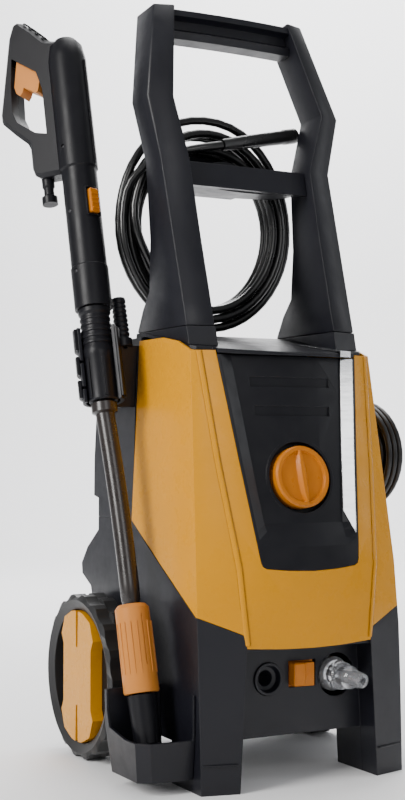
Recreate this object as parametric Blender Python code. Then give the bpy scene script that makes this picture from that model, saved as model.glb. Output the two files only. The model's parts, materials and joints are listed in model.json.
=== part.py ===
"""Upright electric pressure washer: casing shells, handle frame, wheels, spray gun and lance,
hose and mains cord, with the motor and pump inside. Metres, +Z up, the front faces -Y."""
import math

import bmesh
import bpy
from mathutils import Matrix, Vector

for old in list(bpy.data.objects):
    bpy.data.objects.remove(old, do_unlink=True)

# ---------------------------------------------------------------- driving dimensions
GAP = 0.0003                 # clearance between neighbouring pieces
WALL = 0.003                 # casing wall
ORIGIN = Vector((-0.0265, 0.1507, 0.0))   # middle of the floor footprint, in build coordinates

BODY_W = 0.2528              # casing width at the base corners
BODY_TOP = 0.4576            # height of the front top edge
LID_RISE = 0.186             # slope of the lid, rise per run
LID_Y0, LID_Y1 = 0.0235, 0.1650
COVER_BACK = 0.1700          # where the front cover meets the rear cover
REAR_TOP = 0.4795            # top of the rear cover
BASE_TOP = 0.2725            # top of the chassis at the back
UNDER_Z = 0.0487             # underside of the chassis
PANEL_Y = 0.0178             # front panel of the chassis, set back between the legs
LEG_IN, LEG_SLOPE = 0.0850, 0.0531        # half the gap between the legs, and its taper
FOOT_LEN = 0.066
TONGUE_W, TONGUE_Z = 0.1532, 0.1470       # low middle part of the front cover
STEP_Z, CORNER_Z = 0.1607, 0.1800
DIAG_Z = 0.2725

WHEEL_R, WHEEL_W = 0.093, 0.0375
WHEEL_X0 = 0.1310            # inner face of each tyre
AXLE_Y, AXLE_R = 0.2223, 0.005
RIM_R, BAND_H = 0.0755, 0.0222             # rim radius, and height of its flat face

KNOB_R = 0.0335
KNOB_Z = 0.3225
PANEL_BOTTOM, PANEL_T = 0.2290, 0.004
RECESS = 0.008               # depth of the control panel below its rim

OUTLET = (-0.0357, 0.1092)   # X and Z of the hose outlet
INLET = (0.0505, 0.1078)     # X and Z of the water inlet

LANCE_FOOT = Vector((-0.1590, 0.0550, 0.0465))     # end of the nozzle
LANCE_AIM = Vector((-0.1658, 0.2593, 0.8133))
GUN_FOOT = Vector((-0.1657, 0.0580, 0.0465))       # the gun's axis leaves the lance's a little
GUN_HEAD = Vector((-0.1668, 0.2597, 0.8133))
LOOP_OUT = Vector((-0.559, 0.829, 0.0))
TUBE_R = 0.0106              # lance tube
SLEEVE_R, SLEEVE_LEN = 0.0190, 0.0930
BUTTON_TURN = math.radians(-24)           # release button, round the barrel from its spine

HOSE_D = 0.010               # high pressure hose
COIL_C = Vector((-0.018, 0.1920, 0.6138)) # middle of the hung hose coil
SADDLE_X = -0.006
COIL_A, COIL_B = 0.0985, 0.1083           # half width and half height at mid bundle
CORD_D = 0.007               # mains cord
HANK_C = Vector((0.1575, 0.1370, 0.3450))
HANK_A, HANK_B = 0.0710, 0.0520
HANK_T = 0.0140              # half thickness of the hank
CORD_EXIT_Y, CORD_EXIT_Z = 0.2500, 0.3150

SEG = 24


# ---------------------------------------------------------------- helpers
def material(name, rgb, metallic=0.0, roughness=0.5):
    mat = bpy.data.materials.get(name)
    if mat is None:
        mat = bpy.data.materials.new(name)
        mat.use_nodes = True
        shader = mat.node_tree.nodes["Principled BSDF"]
        shader.inputs["Base Color"].default_value = (*rgb, 1.0)
        shader.inputs["Metallic"].default_value = metallic
        shader.inputs["Roughness"].default_value = roughness
    return mat


def black():
    return ("black_plastic", (0.028, 0.029, 0.034), 0.0, 0.45)


def yellow():
    return ("yellow_plastic", (0.86, 0.44, 0.03), 0.0, 0.3)


def orange():
    return ("orange_plastic", (0.90, 0.36, 0.04), 0.0, 0.4)


def tan():
    return ("soft_orange_plastic", (0.88, 0.46, 0.16), 0.0, 0.5)


def steel():
    return ("steel", (0.55, 0.56, 0.58), 1.0, 0.3)


def clear():
    return ("clear_plastic", (0.75, 0.77, 0.80), 0.0, 0.1)


def rubber():
    return ("rubber", (0.02, 0.02, 0.02), 0.0, 0.8)


def finish(name, bm, look, smooth=False):
    bmesh.ops.remove_doubles(bm, verts=bm.verts, dist=1e-6)
    bmesh.ops.recalc_face_normals(bm, faces=bm.faces)
    mesh = bpy.data.meshes.new(name)
    bm.to_mesh(mesh)
    bm.free()
    for poly in mesh.polygons:
        poly.use_smooth = smooth
    obj = bpy.data.objects.new(name, mesh)
    bpy.context.scene.collection.objects.link(obj)
    obj.data.materials.append(material(*look))
    return obj


def loft(name, rings, look, closed=False):
    """Solid through rings of points, capped at both ends, or joined end to start."""
    bm = bmesh.new()
    rows = [[bm.verts.new(p) for p in ring] for ring in rings]
    count = len(rings[0])
    pairs = list(zip(rows, rows[1:]))
    if closed:
        pairs.append((rows[-1], rows[0]))
    for low, high in pairs:
        for i in range(count):
            j = (i + 1) % count
            bm.faces.new((low[i], low[j], high[j], high[i]))
    if not closed:
        bm.faces.new(rows[0])
        bm.faces.new(rows[-1])
    return finish(name, bm, look, closed)


def prism(name, axis, outline, a, b, look):
    """Outline pushed along X (y, z), along Y (x, z) or along Z (x, y), from a to b."""
    spots = {
        "X": lambda p, t: (t, p[0], p[1]),
        "Y": lambda p, t: (p[0], t, p[1]),
        "Z": lambda p, t: (p[0], p[1], t),
    }[axis]
    return loft(name, [[spots(p, t) for p in outline] for t in (a, b)], look)


def box(name, low, high, look):
    ring = [(low[0], low[1]), (high[0], low[1]), (high[0], high[1]), (low[0], high[1])]
    return prism(name, "Z", ring, low[2], high[2], look)


def lathe(name, profile, look, seg=SEG, place=None):
    """Closed outline of (radius, height) turned round local Z."""
    bm = bmesh.new()
    rows = []
    for r, h in profile:
        if r < 1e-7:
            rows.append([bm.verts.new((0.0, 0.0, h))] * seg)
            continue
        turn = [2 * math.pi * i / seg for i in range(seg)]
        rows.append([bm.verts.new((r * math.cos(t), r * math.sin(t), h)) for t in turn])
    loop = list(zip(rows, rows[1:] + rows[:1]))
    for low, high in loop:
        for i in range(seg):
            j = (i + 1) % seg
            corners = []
            for v in (low[i], low[j], high[j], high[i]):
                if v not in corners:
                    corners.append(v)
            if len(corners) > 2:
                bm.faces.new(corners)
    obj = finish(name, bm, look, True)
    shade_by_angle(obj)
    if place is not None:
        obj.matrix_world = place
    return obj


def shade_by_angle(obj, degrees=35):
    bm = bmesh.new()
    bm.from_mesh(obj.data)
    for edge in bm.edges:
        edge.smooth = edge.calc_face_angle(0.0) < math.radians(degrees)
    bm.to_mesh(obj.data)
    bm.free()
    for poly in obj.data.polygons:
        poly.use_smooth = True


def rod(name, radius, low, high, look, seg=SEG, place=None):
    return lathe(name, [(0, low), (radius, low), (radius, high), (0, high)], look, seg, place)


def ring_solid(name, inner, outer, low, high, look, seg=SEG, place=None):
    outline = [(inner, low), (outer, low), (outer, high), (inner, high)]
    return lathe(name, outline, look, seg, place)


def boolean(obj, tool, operation="DIFFERENCE"):
    mod = obj.modifiers.new(operation.lower(), "BOOLEAN")
    mod.operation = operation
    mod.solver = "EXACT"
    mod.object = tool
    tool.hide_render = True
    tool.display_type = "WIRE"
    return obj


def bevel(obj, width, segments=1, degrees=30):
    mod = obj.modifiers.new("bevel", "BEVEL")
    mod.width = width
    mod.segments = segments
    mod.limit_method = "ANGLE"
    mod.angle_limit = math.radians(degrees)
    return obj


def along(point, direction, side=None):
    """Frame with its Z along the direction."""
    z = Vector(direction).normalized()
    hint = Vector(side) if side is not None else Vector((1, 0, 0))
    if abs(z.dot(hint)) > 0.9:
        hint = Vector((0, 1, 0))
    y = z.cross(hint).normalized()
    x = y.cross(z)
    frame = Matrix((x, y, z)).transposed().to_4x4()
    frame.translation = Vector(point)
    return frame


def between(table, z):
    """Row of values at height z, read off a table sorted by its first column."""
    for low, high in zip(table, table[1:]):
        if z <= high[0] or high is table[-1]:
            t = (z - low[0]) / (high[0] - low[0])
            return [a + t * (b - a) for a, b in zip(low[1:], high[1:])]
    return list(table[0][1:])


def curve_tube(name, points, diameter, look, resolution=2):
    data = bpy.data.curves.new(name, "CURVE")
    data.dimensions = "3D"
    data.bevel_depth = diameter / 2
    data.bevel_resolution = resolution
    data.use_fill_caps = True
    spline = data.splines.new("POLY")
    spline.points.add(len(points) - 1)
    for spot, point in zip(spline.points, points):
        spot.co = (*point, 1.0)
    obj = bpy.data.objects.new(name, data)
    bpy.context.scene.collection.objects.link(obj)
    obj.data.materials.append(material(*look))
    return obj


def smooth_route(anchors, step):
    """Evenly spaced points on a smooth curve through the anchors."""
    pts = [Vector(a) for a in anchors]
    ends = [2 * pts[0] - pts[1]] + pts + [2 * pts[-1] - pts[-2]]
    dense = []
    for a, b, c, d in zip(ends, ends[1:], ends[2:], ends[3:]):
        for i in range(24):
            t = i / 24
            dense.append(0.5 * ((2 * b) + (c - a) * t + (2 * a - 5 * b + 4 * c - d) * t * t
                                + (3 * b - a - 3 * c + d) * t ** 3))
    dense.append(pts[-1])
    total = sum((q - p).length for p, q in zip(dense, dense[1:]))
    count = max(2, round(total / step))
    out = [dense[0]]
    gone = 0.0
    for p, q in zip(dense, dense[1:]):
        span = (q - p).length
        while len(out) < count and gone + span >= total * len(out) / count:
            t = (total * len(out) / count - gone) / span
            out.append(p.lerp(q, t))
        gone += span
    out.append(dense[-1])
    return out


# ---------------------------------------------------------------- casing
# height: corner x, corner y, ridge x, ridge y, middle y
FACE = (
    (0.000, 0.1252, 0.0000, 0.0850, -0.0098, -0.0165),
    (0.147, 0.1264, 0.0050, 0.0766, -0.0103, -0.0155),
    (0.229, 0.1248, 0.0125, 0.0850, -0.0080, -0.0180),
    (0.340, 0.1195, 0.0285, 0.0970, 0.0165, 0.0040),
    (0.4576, 0.1142, 0.0462, 0.1063, 0.0412, 0.0235),
    (0.485, 0.1130, 0.0495, 0.1085, 0.0465, 0.0290),
)


def face_y(x, z):
    """Front surface of the casing at x and height z."""
    xa, ya, xb, yb, yc = between(FACE, z)
    x = abs(x)
    if x < xb:
        return yc + (yb - yc) * (x / xb) ** 2
    return yb + (ya - yb) * (x - xb) / (xa - xb)


def half_outline(z, inset):
    """Points from the middle of the front to the corner, set in by the wall."""
    xa, ya, xb, yb, yc = between(FACE, z)
    points = [(x * xb, face_y(x * xb, z) + inset) for x in (0.0, 0.35, 0.7)]
    points.append((xb - 0.25 * inset, yb + inset))
    points.append((xa - inset, ya + 0.9 * inset))
    return points


def u_ring(z, back):
    """Closed U outline of the front cover: outer run, then the inner run back."""
    outer = half_outline(z, 0.0)
    inner = half_outline(z, WALL)
    side = between(FACE, z)[0] + 0.0008
    run = outer + [(side, back)]
    inside = inner + [(side - WALL, back)]
    points = [(-x, y) for x, y in run[::-1]] + run[1:]
    points += inside[::-1] + [(-x, y) for x, y in inside[1:]]
    return [(x, y, z) for x, y in points]


def seam_outline(drop):
    """Lower edge of the front cover seen from the front, as x and z."""
    half = TONGUE_W / 2
    right = [(0.45 * half, TONGUE_Z - drop - 0.0024), (half + drop, TONGUE_Z - drop),
             (half + 0.0026 + drop, STEP_Z - drop), (BODY_W / 2, CORNER_Z - drop),
             (0.2, CORNER_Z - drop)]
    return [(-x, z) for x, z in right[::-1]] + [(0.0, TONGUE_Z - drop - 0.0030)] + right


def front_cover():
    heights = (0.130, 0.147, 0.188, 0.229, 0.284, 0.340, 0.399, 0.4576, 0.485)
    body = loft("front_cover", [u_ring(z, COVER_BACK) for z in heights], yellow())
    low = prism("cut_cover_low", "Y", seam_outline(0.0) + [(0.2, 0.0), (-0.2, 0.0)],
                -0.1, 0.012, yellow())
    side = [(0.0115, 0.0), (0.0115, CORNER_Z), (COVER_BACK + 0.01, DIAG_Z + 0.0055), (0.3, 0.0)]
    diagonal = prism("cut_cover_side", "X", side, -0.3, 0.3, yellow())
    crown = [(-0.1, BODY_TOP), (0.046, BODY_TOP), (0.075, 0.4690), (0.110, 0.4750),
             (0.3, 0.4755), (0.3, 0.6), (-0.1, 0.6)]
    top = prism("cut_cover_top", "X", crown, -0.3, 0.3, yellow())
    boolean(body, low)
    boolean(body, diagonal)
    boolean(body, top)
    boolean(body, panel_hole("cut_cover_panel", GAP))
    return body


def panel_half(z):
    """Half width of the control panel and of its sunken floor."""
    t = (z - PANEL_BOTTOM) / (BODY_TOP - PANEL_BOTTOM)
    return 0.0602 + t * 0.0281, 0.0440 + t * 0.0260


def panel_hole(name, extra):
    low, high = PANEL_BOTTOM - extra, 0.55
    a = panel_half(low + 0.006)[0] + extra
    b = panel_half(high)[0] + extra
    right = [(0.5 * a, low - 0.0030), (a - 0.0060, low - 0.0006), (a - 0.0016, low + 0.0018),
             (a, low + 0.0060), (b, high)]
    ring = [(0.0, low - 0.0042)] + right + [(-x, z) for x, z in right[::-1]]
    return prism(name, "Y", ring, -0.1, 0.075, black())


SINK_Z0, SINK_Z1 = 0.2500, 0.2740          # slope from the panel's rim down to its floor


def panel_sink(z):
    return RECESS * max(0.0, min(1.0, (z - SINK_Z0) / (SINK_Z1 - SINK_Z0)))


def panel_ring(z, depth):
    xe, xf = panel_half(z)
    over = xe + 0.002        # trimmed back to the outline afterwards
    xs = [-over, -xe + 0.003, -xf, -0.5 * xf, 0.0, 0.5 * xf, xf, xe - 0.003, over]
    sink = [0.0, 0.0, depth, depth, depth, depth, depth, 0.0, 0.0]
    front = [(x, face_y(x, z) + s, z) for x, s in zip(xs, sink)]
    back = [(x, face_y(x, z) + s + PANEL_T, z) for x, s in zip(xs, sink)]
    return front + back[::-1]


def knob_frame():
    """Axis of the knob: square to the sunken floor of the panel."""
    lean = math.atan2(face_y(0, KNOB_Z + 0.05) - face_y(0, KNOB_Z - 0.05), 0.1)
    out = Vector((0, -math.cos(lean), math.sin(lean)))
    return along((0, face_y(0, KNOB_Z) + RECESS, KNOB_Z), out)


def control_panel():
    stations = (PANEL_BOTTOM - 0.006, SINK_Z0, 0.2580, 0.2660, SINK_Z1, 0.2860, 0.3500, 0.4100, 0.4535)
    body = loft("control_panel", [panel_ring(z, panel_sink(z)) for z in stations], black())
    boolean(body, panel_hole("keep_panel", 0.0), "INTERSECT")
    place = knob_frame()
    cup = rod("add_knob_cup", KNOB_R + 0.0085, -0.0135, -0.0005, black(), 36, place)
    boolean(body, cup, "UNION")
    pocket = rod("cut_knob_pocket", KNOB_R + 0.0050, -0.0110, 0.0300, black(), 36, place)
    boolean(body, pocket)
    boolean(body, rod("cut_knob_shaft", 0.0050, -0.03, 0.01, black(), 16, place))
    for i, (z, half) in enumerate(((0.4250, 0.0505), (0.3935, 0.0475))):
        rings = []
        for k in range(9):
            x = half * (k / 4 - 1)
            y = face_y(x, z) + RECESS
            rings.append([(x, y - 0.015, z - 0.0052), (x, y - 0.015, z + 0.0052),
                          (x, y + 0.0024, z + 0.0052), (x, y + 0.0016, z - 0.0052)])
        boolean(body, loft(f"cut_slot_{i}", rings, black()))
    return body


def chrome():
    return ("chrome", (0.78, 0.79, 0.80), 1.0, 0.12)


def chrome_trim():
    """Bright strip on the right wall of the panel's recess, narrowing to a tip."""
    rings = []
    for z in (0.2630, SINK_Z1, 0.2860, 0.3500, 0.4000, 0.4532):
        xe, xf = panel_half(z)
        wide = min(1.0, 0.08 + (z - 0.2630) / 0.025)
        off = GAP + 0.0011 * max(0.0, (0.3 - z) / 0.037)
        a = Vector((xe - 0.0034, face_y(xe - 0.003, z) - off, z))
        b = Vector((xf + 0.0008, face_y(xf, z) + panel_sink(z) - off, z))
        b = a.lerp(b, wide * 0.97)
        lift = Vector((-0.0009, -0.0011, 0.0))
        rings.append([a, b, b + lift, a + lift])
    return loft("chrome_trim", rings, chrome())


def chrome_trim_top():
    """Second strip, folded over the front edge of the lid and running back along it."""
    rings = []
    for z in (0.4545, 0.4606):
        row = []
        for x, out in ((0.0800, 0.0010), (0.0640, 0.0010), (0.0640, 0.0024), (0.0800, 0.0024)):
            row.append((x, face_y(x, 0.456) - out, z + (0.0008 if out > 0.002 and z > 0.457 else 0)))
        rings.append(row)
    for y, x0, x1 in ((0.0390, 0.0630, 0.0782), (0.0920, 0.0500, 0.0640)):
        z = lid_z(y) + GAP
        rings.append([(x1, y, z), (x0, y, z), (x0, y, z + 0.0014), (x1, y, z + 0.0014)])
    return loft("chrome_trim_top", rings, chrome())


def lid_z(y):
    return BODY_TOP + LID_RISE * (y - LID_Y0)


def top_lid():
    edge = face_y(0.0, 0.4560)
    outline = [(edge - 0.0005, 0.4540), (edge - 0.0005, 0.4562), (edge + 0.003, lid_z(edge + 0.003)),
               (LID_Y1 - GAP, lid_z(LID_Y1)), (LID_Y1 - GAP, lid_z(LID_Y1) - 0.004),
               (edge + 0.006, 0.4540)]
    body = prism("top_lid", "X", outline, -0.1096, 0.1096, black())
    right = [(0.0, edge - 0.001), (0.0450, face_y(0.045, 0.456) - 0.0005),
             (0.0870, face_y(0.087, 0.456) - 0.0003), (0.0870, 0.0460), (0.1045, 0.0500),
             (0.1096, 0.0560), (0.1096, 0.20)]
    plan = right + [(-x, y) for x, y in right[:0:-1]]
    boolean(body, prism("keep_lid", "Z", plan, 0.40, 0.52, black()), "INTERSECT")
    return body


# height: half width, back wall y, corner width, corner y
BACK = (
    (0.000, 0.1252, 0.2800, 0.1150, 0.2700),
    (0.160, 0.1252, 0.2800, 0.1150, 0.2700),
    (0.190, 0.1290, 0.2820, 0.1130, 0.2720),
    (0.203, 0.1290, 0.3075, 0.1130, 0.2975),
    (0.215, 0.1285, 0.3105, 0.1125, 0.3005),
    (0.235, 0.1270, 0.2965, 0.1110, 0.2865),
    (0.257, 0.1245, 0.2710, 0.1080, 0.2600),
    (0.2944, 0.1220, 0.2755, 0.1060, 0.2655),
    (0.2970, 0.1215, 0.2900, 0.1050, 0.2800),
    (0.340, 0.1205, 0.2915, 0.1040, 0.2815),
    (0.400, 0.1190, 0.2885, 0.1020, 0.2785),
    (0.4600, 0.1160, 0.2800, 0.0980, 0.2700),
    (0.4900, 0.1090, 0.2720, 0.0910, 0.2620),
)


def base_ring(z, inset):
    """Chassis outline: front face as the cover's, straight sides, chamfered back corners."""
    side, back, cx, cy = between(BACK, z)
    front = half_outline(z, inset)
    blend = max(0.0, min(1.0, (z - 0.160) / 0.03))
    mid = [(side - inset, 0.1500 + 0.05 * blend), (side - inset, cy - 0.4 * inset),
           (cx - 0.4 * inset, back - inset), (0.0, back - inset)]
    right = front + mid
    return [(x, y, z) for x, y in right] + [(-x, y, z) for x, y in right[-2:0:-1]]


def leg_in(z):
    """Half the gap between the legs at height z."""
    return LEG_IN - LEG_SLOPE * z


def between_legs(name, low, high, y0, y1, grow=0.0):
    ring = [(-leg_in(low) - grow, low), (leg_in(low) + grow, low),
            (leg_in(high) + grow, high), (-leg_in(high) - grow, high)]
    return prism(name, "Y", ring, y0, y1, black())


def recess_block():
    """Walls round the set-back front panel, joined to the legs and closed by a ledge on top."""
    rings = []
    for z in (UNDER_Z, 0.0800, 0.1100, TONGUE_Z - 0.0008):
        half = leg_in(z) + WALL
        front = face_y(half, z) + 0.0015
        rings.append([(-half, front, z), (half, front, z), (half, PANEL_Y + WALL, z),
                      (-half, PANEL_Y + WALL, z)])
    return loft("add_recess_block", rings, black())


def chassis():
    heights = (0.0, 0.056, 0.100, 0.160, 0.190, 0.203, 0.215, 0.235, 0.257, BASE_TOP)
    body = loft("chassis", [base_ring(z, 0.0) for z in heights], black())
    inner = (UNDER_Z + WALL, 0.100, 0.160, 0.190, 0.203, 0.215, 0.235, 0.257, 0.280)
    boolean(body, loft("cut_chassis_hollow", [base_ring(z, WALL) for z in inner], black()))
    boolean(body, prism("cut_seam_front", "Y", seam_outline(GAP) + [(0.2, 0.4), (-0.2, 0.4)],
                        -0.1, 0.012, black()))
    side = [(0.0118, 0.5), (0.0118, CORNER_Z - GAP), (COVER_BACK + 0.01, DIAG_Z + 0.0052), (0.2, 0.5)]
    boolean(body, prism("cut_seam_side", "X", side, -0.3, 0.3, black()))
    boolean(body, recess_block(), "UNION")
    ledge = -0.0068
    boolean(body, between_legs("cut_recess", -0.01, TONGUE_Z - 0.0040, -0.1, PANEL_Y))
    boolean(body, between_legs("cut_recess_front", 0.1, TONGUE_Z + 0.002, -0.1, ledge, -0.0004))
    boolean(body, between_legs("cut_under", -0.02, UNDER_Z, PANEL_Y - 0.003, 0.4, -0.0003))
    boolean(body, box("cut_under_back", (-0.2, FOOT_LEN, -0.01), (0.2, 0.4, 0.045), black()))
    for sign in (-1, 1):
        pocket = box(f"cut_foot_{sign + 1}", (min(sign * 0.0885, sign * 0.1222), 0.012, -0.01),
                     (max(sign * 0.0885, sign * 0.1222), FOOT_LEN - WALL, 0.0450), black())
        boolean(body, pocket)
    axle = along((0, AXLE_Y, WHEEL_R), (1, 0, 0))
    boolean(body, rod("cut_axle_holes", AXLE_R + 0.0005, -0.2, 0.2, black(), 20, axle))
    boolean(body, rod("cut_outlet_hole", 0.0176, 0.0, 0.03, black(), 28, fitting(OUTLET)))
    boolean(body, rod("cut_inlet_hole", 0.0235, 0.0, 0.03, black(), 32, fitting(INLET)))
    slot = box("cut_latch_slot", (LATCH_X - 0.0020, 0.0, 0.0982),
               (LATCH_X + 0.0320, PANEL_Y + 0.01, 0.1262), black())
    boolean(body, slot)
    return body


def rear_cover():
    heights = (BASE_TOP + 0.0003, 0.2944, 0.2970, 0.340, 0.400, 0.460, 0.490)

    def ring(z, inset, front):
        side, back, cx, cy = between(BACK, z)
        right = [(0.0, front), (side - inset, front), (side - inset, cy - 0.4 * inset),
                 (cx - 0.4 * inset, back - inset), (0.0, back - inset)]
        return [(x, y, z) for x, y in right] + [(-x, y, z) for x, y in right[-2:0:-1]]

    start = COVER_BACK + 0.0005
    body = loft("rear_cover", [ring(z, 0.0, start) for z in heights], black())
    inner = [ring(z, WALL, 0.10) for z in (0.262, 0.2935, 0.2990, 0.400, 0.452)]
    boolean(body, loft("cut_rear_hollow", inner, black()))
    crown = [(0.10, REAR_TOP), (0.215, REAR_TOP), (0.330, 0.4560), (0.4, 0.6), (0.0, 0.6)]
    boolean(body, prism("cut_rear_top", "X", crown, -0.3, 0.3, black()))
    gland = along((0.12, CORD_EXIT_Y, CORD_EXIT_Z), (1, 0, 0))
    boolean(body, rod("cut_gland_hole", 0.0063, -0.02, 0.02, black(), 20, gland))
    for i in range(6):
        z = 0.325 + 0.018 * i
        boolean(body, box(f"cut_vent_{i}", (-0.060, 0.25, z), (0.060, 0.35, z + 0.007), black()))
    return body


# ---------------------------------------------------------------- handle frame
# height: inner x, outer x, inner front y, outer front y, back y
POST = (
    (0.4500, 0.0758, 0.1079, 0.0500, 0.0560, 0.1990),
    (0.4850, 0.0765, 0.1085, 0.0585, 0.0653, 0.1890),
    (0.5110, 0.0767, 0.1088, 0.0660, 0.0729, 0.1737),
    (0.5305, 0.0770, 0.1091, 0.0715, 0.0785, 0.1565),
    (0.5886, 0.0778, 0.1100, 0.0885, 0.0955, 0.1527),
    (0.6780, 0.0793, 0.1116, 0.1121, 0.1219, 0.1610),
    (0.7460, 0.0980, 0.1264, 0.1147, 0.1253, 0.1667),
    (0.8650, 0.0755, 0.0996, 0.1565, 0.1645, 0.2098),
)
POST_TOP = 0.8650
SEAM_LOW = 0.4850


def post_x(z):
    return between(POST, z)[0]


def post_ring(sign, z, tilt=0.0):
    xi, xo, yi, yo, yr = between(POST, z)
    return [(sign * xi, yi, z), (sign * xo, yo, z), (sign * xo, yr, z - tilt),
            (sign * (xi + 0.002), yr, z - tilt)]


def handle_post(name, sign):
    rings = [post_ring(sign, z) for z in (SEAM_LOW + GAP, 0.5110, 0.5305, 0.5886, 0.6780, 0.7460,
                                          0.8400)]
    rings.append(post_ring(sign, POST_TOP, 0.0030))
    body = loft(name, rings, black())
    bevel(body, 0.0022, 2, 25)
    return body


def handle_socket(name, sign):
    """Foot of the post, rising from the lid and the rear cover."""
    body = loft(name, [post_ring(sign, z) for z in (0.4500, SEAM_LOW)], black())
    step = LID_Y1 + 0.0005
    ground = [(0.0, lid_z(0.0) + GAP), (step, lid_z(step) + GAP), (step, REAR_TOP + GAP),
              (0.215, REAR_TOP + GAP), (0.3300, 0.4560 + GAP), (0.33, 0.40), (0.0, 0.40)]
    boolean(body, prism("cut_" + name, "X", ground, -0.3, 0.3, black()))
    return body


def grip_bar():
    section = [(0.1570, 0.8590), (0.1560, 0.8520), (0.1680, 0.8490), (0.1680, 0.8390),
               (0.1600, 0.8350), (0.1640, 0.8270), (0.1840, 0.8250), (0.1920, 0.8330),
               (0.1920, 0.8500), (0.1850, 0.8590)]
    rings = []
    for side in (-1.0, -0.6, -0.2, 0.2, 0.6, 1.0):
        bow = 0.0035 * (1 - side * side)
        rings.append([(side * (post_x(z) - GAP), y - bow, z) for y, z in section])
    return loft("grip_bar", rings, black())


def crossbar():
    """Front plate between the posts with the saddle that carries the hose behind it."""
    front = [(0.1180, 0.6494), (0.1260, 0.6776), (0.1300, 0.6776), (0.1300, 0.6530),
             (0.1290, 0.6494)]
    rings = []
    for x in (-1, 1):
        rings.append([(x * (post_x(z) - GAP), y, z) for y, z in front])
    body = loft("crossbar", rings, black())
    half = post_x(0.66) - GAP
    shelf = [(half, 0.6700), (-half, 0.6700)]
    for i in range(9):
        x = -half + 2 * half * i / 8
        shelf.append((x, 0.6480 + 0.006 * (x / half) ** 2))
    boolean(body, prism("add_shelf", "Y", shelf, 0.1285, 0.1650, black()), "UNION")
    saddle = []
    for i in range(9):
        x = -0.036 + 0.009 * i
        saddle.append((SADDLE_X + x, 0.6900 - 0.014 * (x / 0.036) ** 2))
    saddle += [(SADDLE_X + 0.036, 0.6560), (SADDLE_X - 0.036, 0.6560)]
    boolean(body, prism("add_saddle", "Y", saddle, 0.1640, 0.2140, black()), "UNION")
    lip = [(SADDLE_X + 0.034 * math.sin(t), 0.6720 + 0.040 * math.cos(t))
           for t in [math.radians(-90 + 20 * i) for i in range(10)]]
    boolean(body, prism("add_saddle_lip", "Y", lip, 0.2130, 0.2170, black()), "UNION")
    return body


# ---------------------------------------------------------------- wheels
def tyre(name, sign):
    """Tread blocks on both shoulders, half a pitch apart."""
    blocks, per = 18, 4
    seg = blocks * per
    row_a, row_b = (2, 3), (4, 5)
    profile = [(RIM_R + GAP, 0.0060), (0.0865, 0.0), (WHEEL_R, 0.0030), (WHEEL_R, 0.0178),
               (WHEEL_R, 0.0197), (WHEEL_R, WHEEL_W - 0.003), (0.0865, WHEEL_W),
               (RIM_R + GAP, WHEEL_W - 0.0045)]
    bm = bmesh.new()
    rows = []
    for k, (r, h) in enumerate(profile):
        row = []
        for i in range(seg):
            t = 2 * math.pi * i / seg
            cut = 0.0
            if k in row_a and (i % per) in (0, 1):
                cut = 0.0035
            if k in row_b and ((i + 2) % per) in (0, 1):
                cut = 0.0035
            row.append(bm.verts.new(((r - cut) * math.cos(t), (r - cut) * math.sin(t), h)))
        rows.append(row)
    for low_row, high_row in zip(rows, rows[1:] + rows[:1]):
        for i in range(seg):
            j = (i + 1) % seg
            bm.faces.new((low_row[i], low_row[j], high_row[j], high_row[i]))
    obj = finish(name, bm, ("tyre_rubber", (0.018, 0.018, 0.019), 0.0, 0.75))
    obj.matrix_world = along((sign * WHEEL_X0, AXLE_Y, WHEEL_R), (sign, 0, 0), (0, 1, 0))
    return obj


def wheel_rim(name, sign):
    outline = [(AXLE_R + 0.0004, 0.0010), (0.0120, 0.0010), (0.0140, 0.0110), (0.0640, 0.0125),
               (0.0690, 0.0065), (RIM_R, 0.0065), (RIM_R, BAND_H), (AXLE_R + 0.0004, BAND_H)]
    return lathe(name, outline, black(), 24,
                 along((sign * WHEEL_X0, AXLE_Y, WHEEL_R), (sign, 0, 0), (0, 1, 0)))


def hub_cover(name, sign):
    """Band across the wheel with flared ends and a slit in each end."""
    quarter = [(0.0390, 0.0330), (0.0450, 0.0440), (0.0360, 0.0640), (0.0140, 0.0735),
               (0.0035, 0.0742), (0.0022, 0.0330)]
    outline = quarter + [(-y, z) for y, z in quarter[::-1]]
    outline += [(-y, -z) for y, z in quarter] + [(y, -z) for y, z in quarter[::-1]]
    a, b = sorted((sign * (WHEEL_X0 + BAND_H + GAP), sign * (WHEEL_X0 + WHEEL_W - 0.0005)))
    obj = prism(name, "X", outline, a, b, yellow())
    obj.matrix_world = Matrix.Translation((0, AXLE_Y, WHEEL_R))
    place = along((sign * WHEEL_X0, AXLE_Y, WHEEL_R), (sign, 0, 0), (0, 1, 0))
    boolean(obj, rod("keep_" + name, RIM_R - 0.0012, 0.0, 0.06, yellow(), 40, place), "INTERSECT")
    boolean(obj, rod("cut_" + name, AXLE_R + 0.0010, 0.0, BAND_H + 0.0065, yellow(), 20, place))
    return obj


def axle():
    return rod("axle", AXLE_R, -WHEEL_X0 - 0.0260, WHEEL_X0 + 0.0260, steel(), 20,
               along((0, AXLE_Y, WHEEL_R), (1, 0, 0)))


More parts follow.
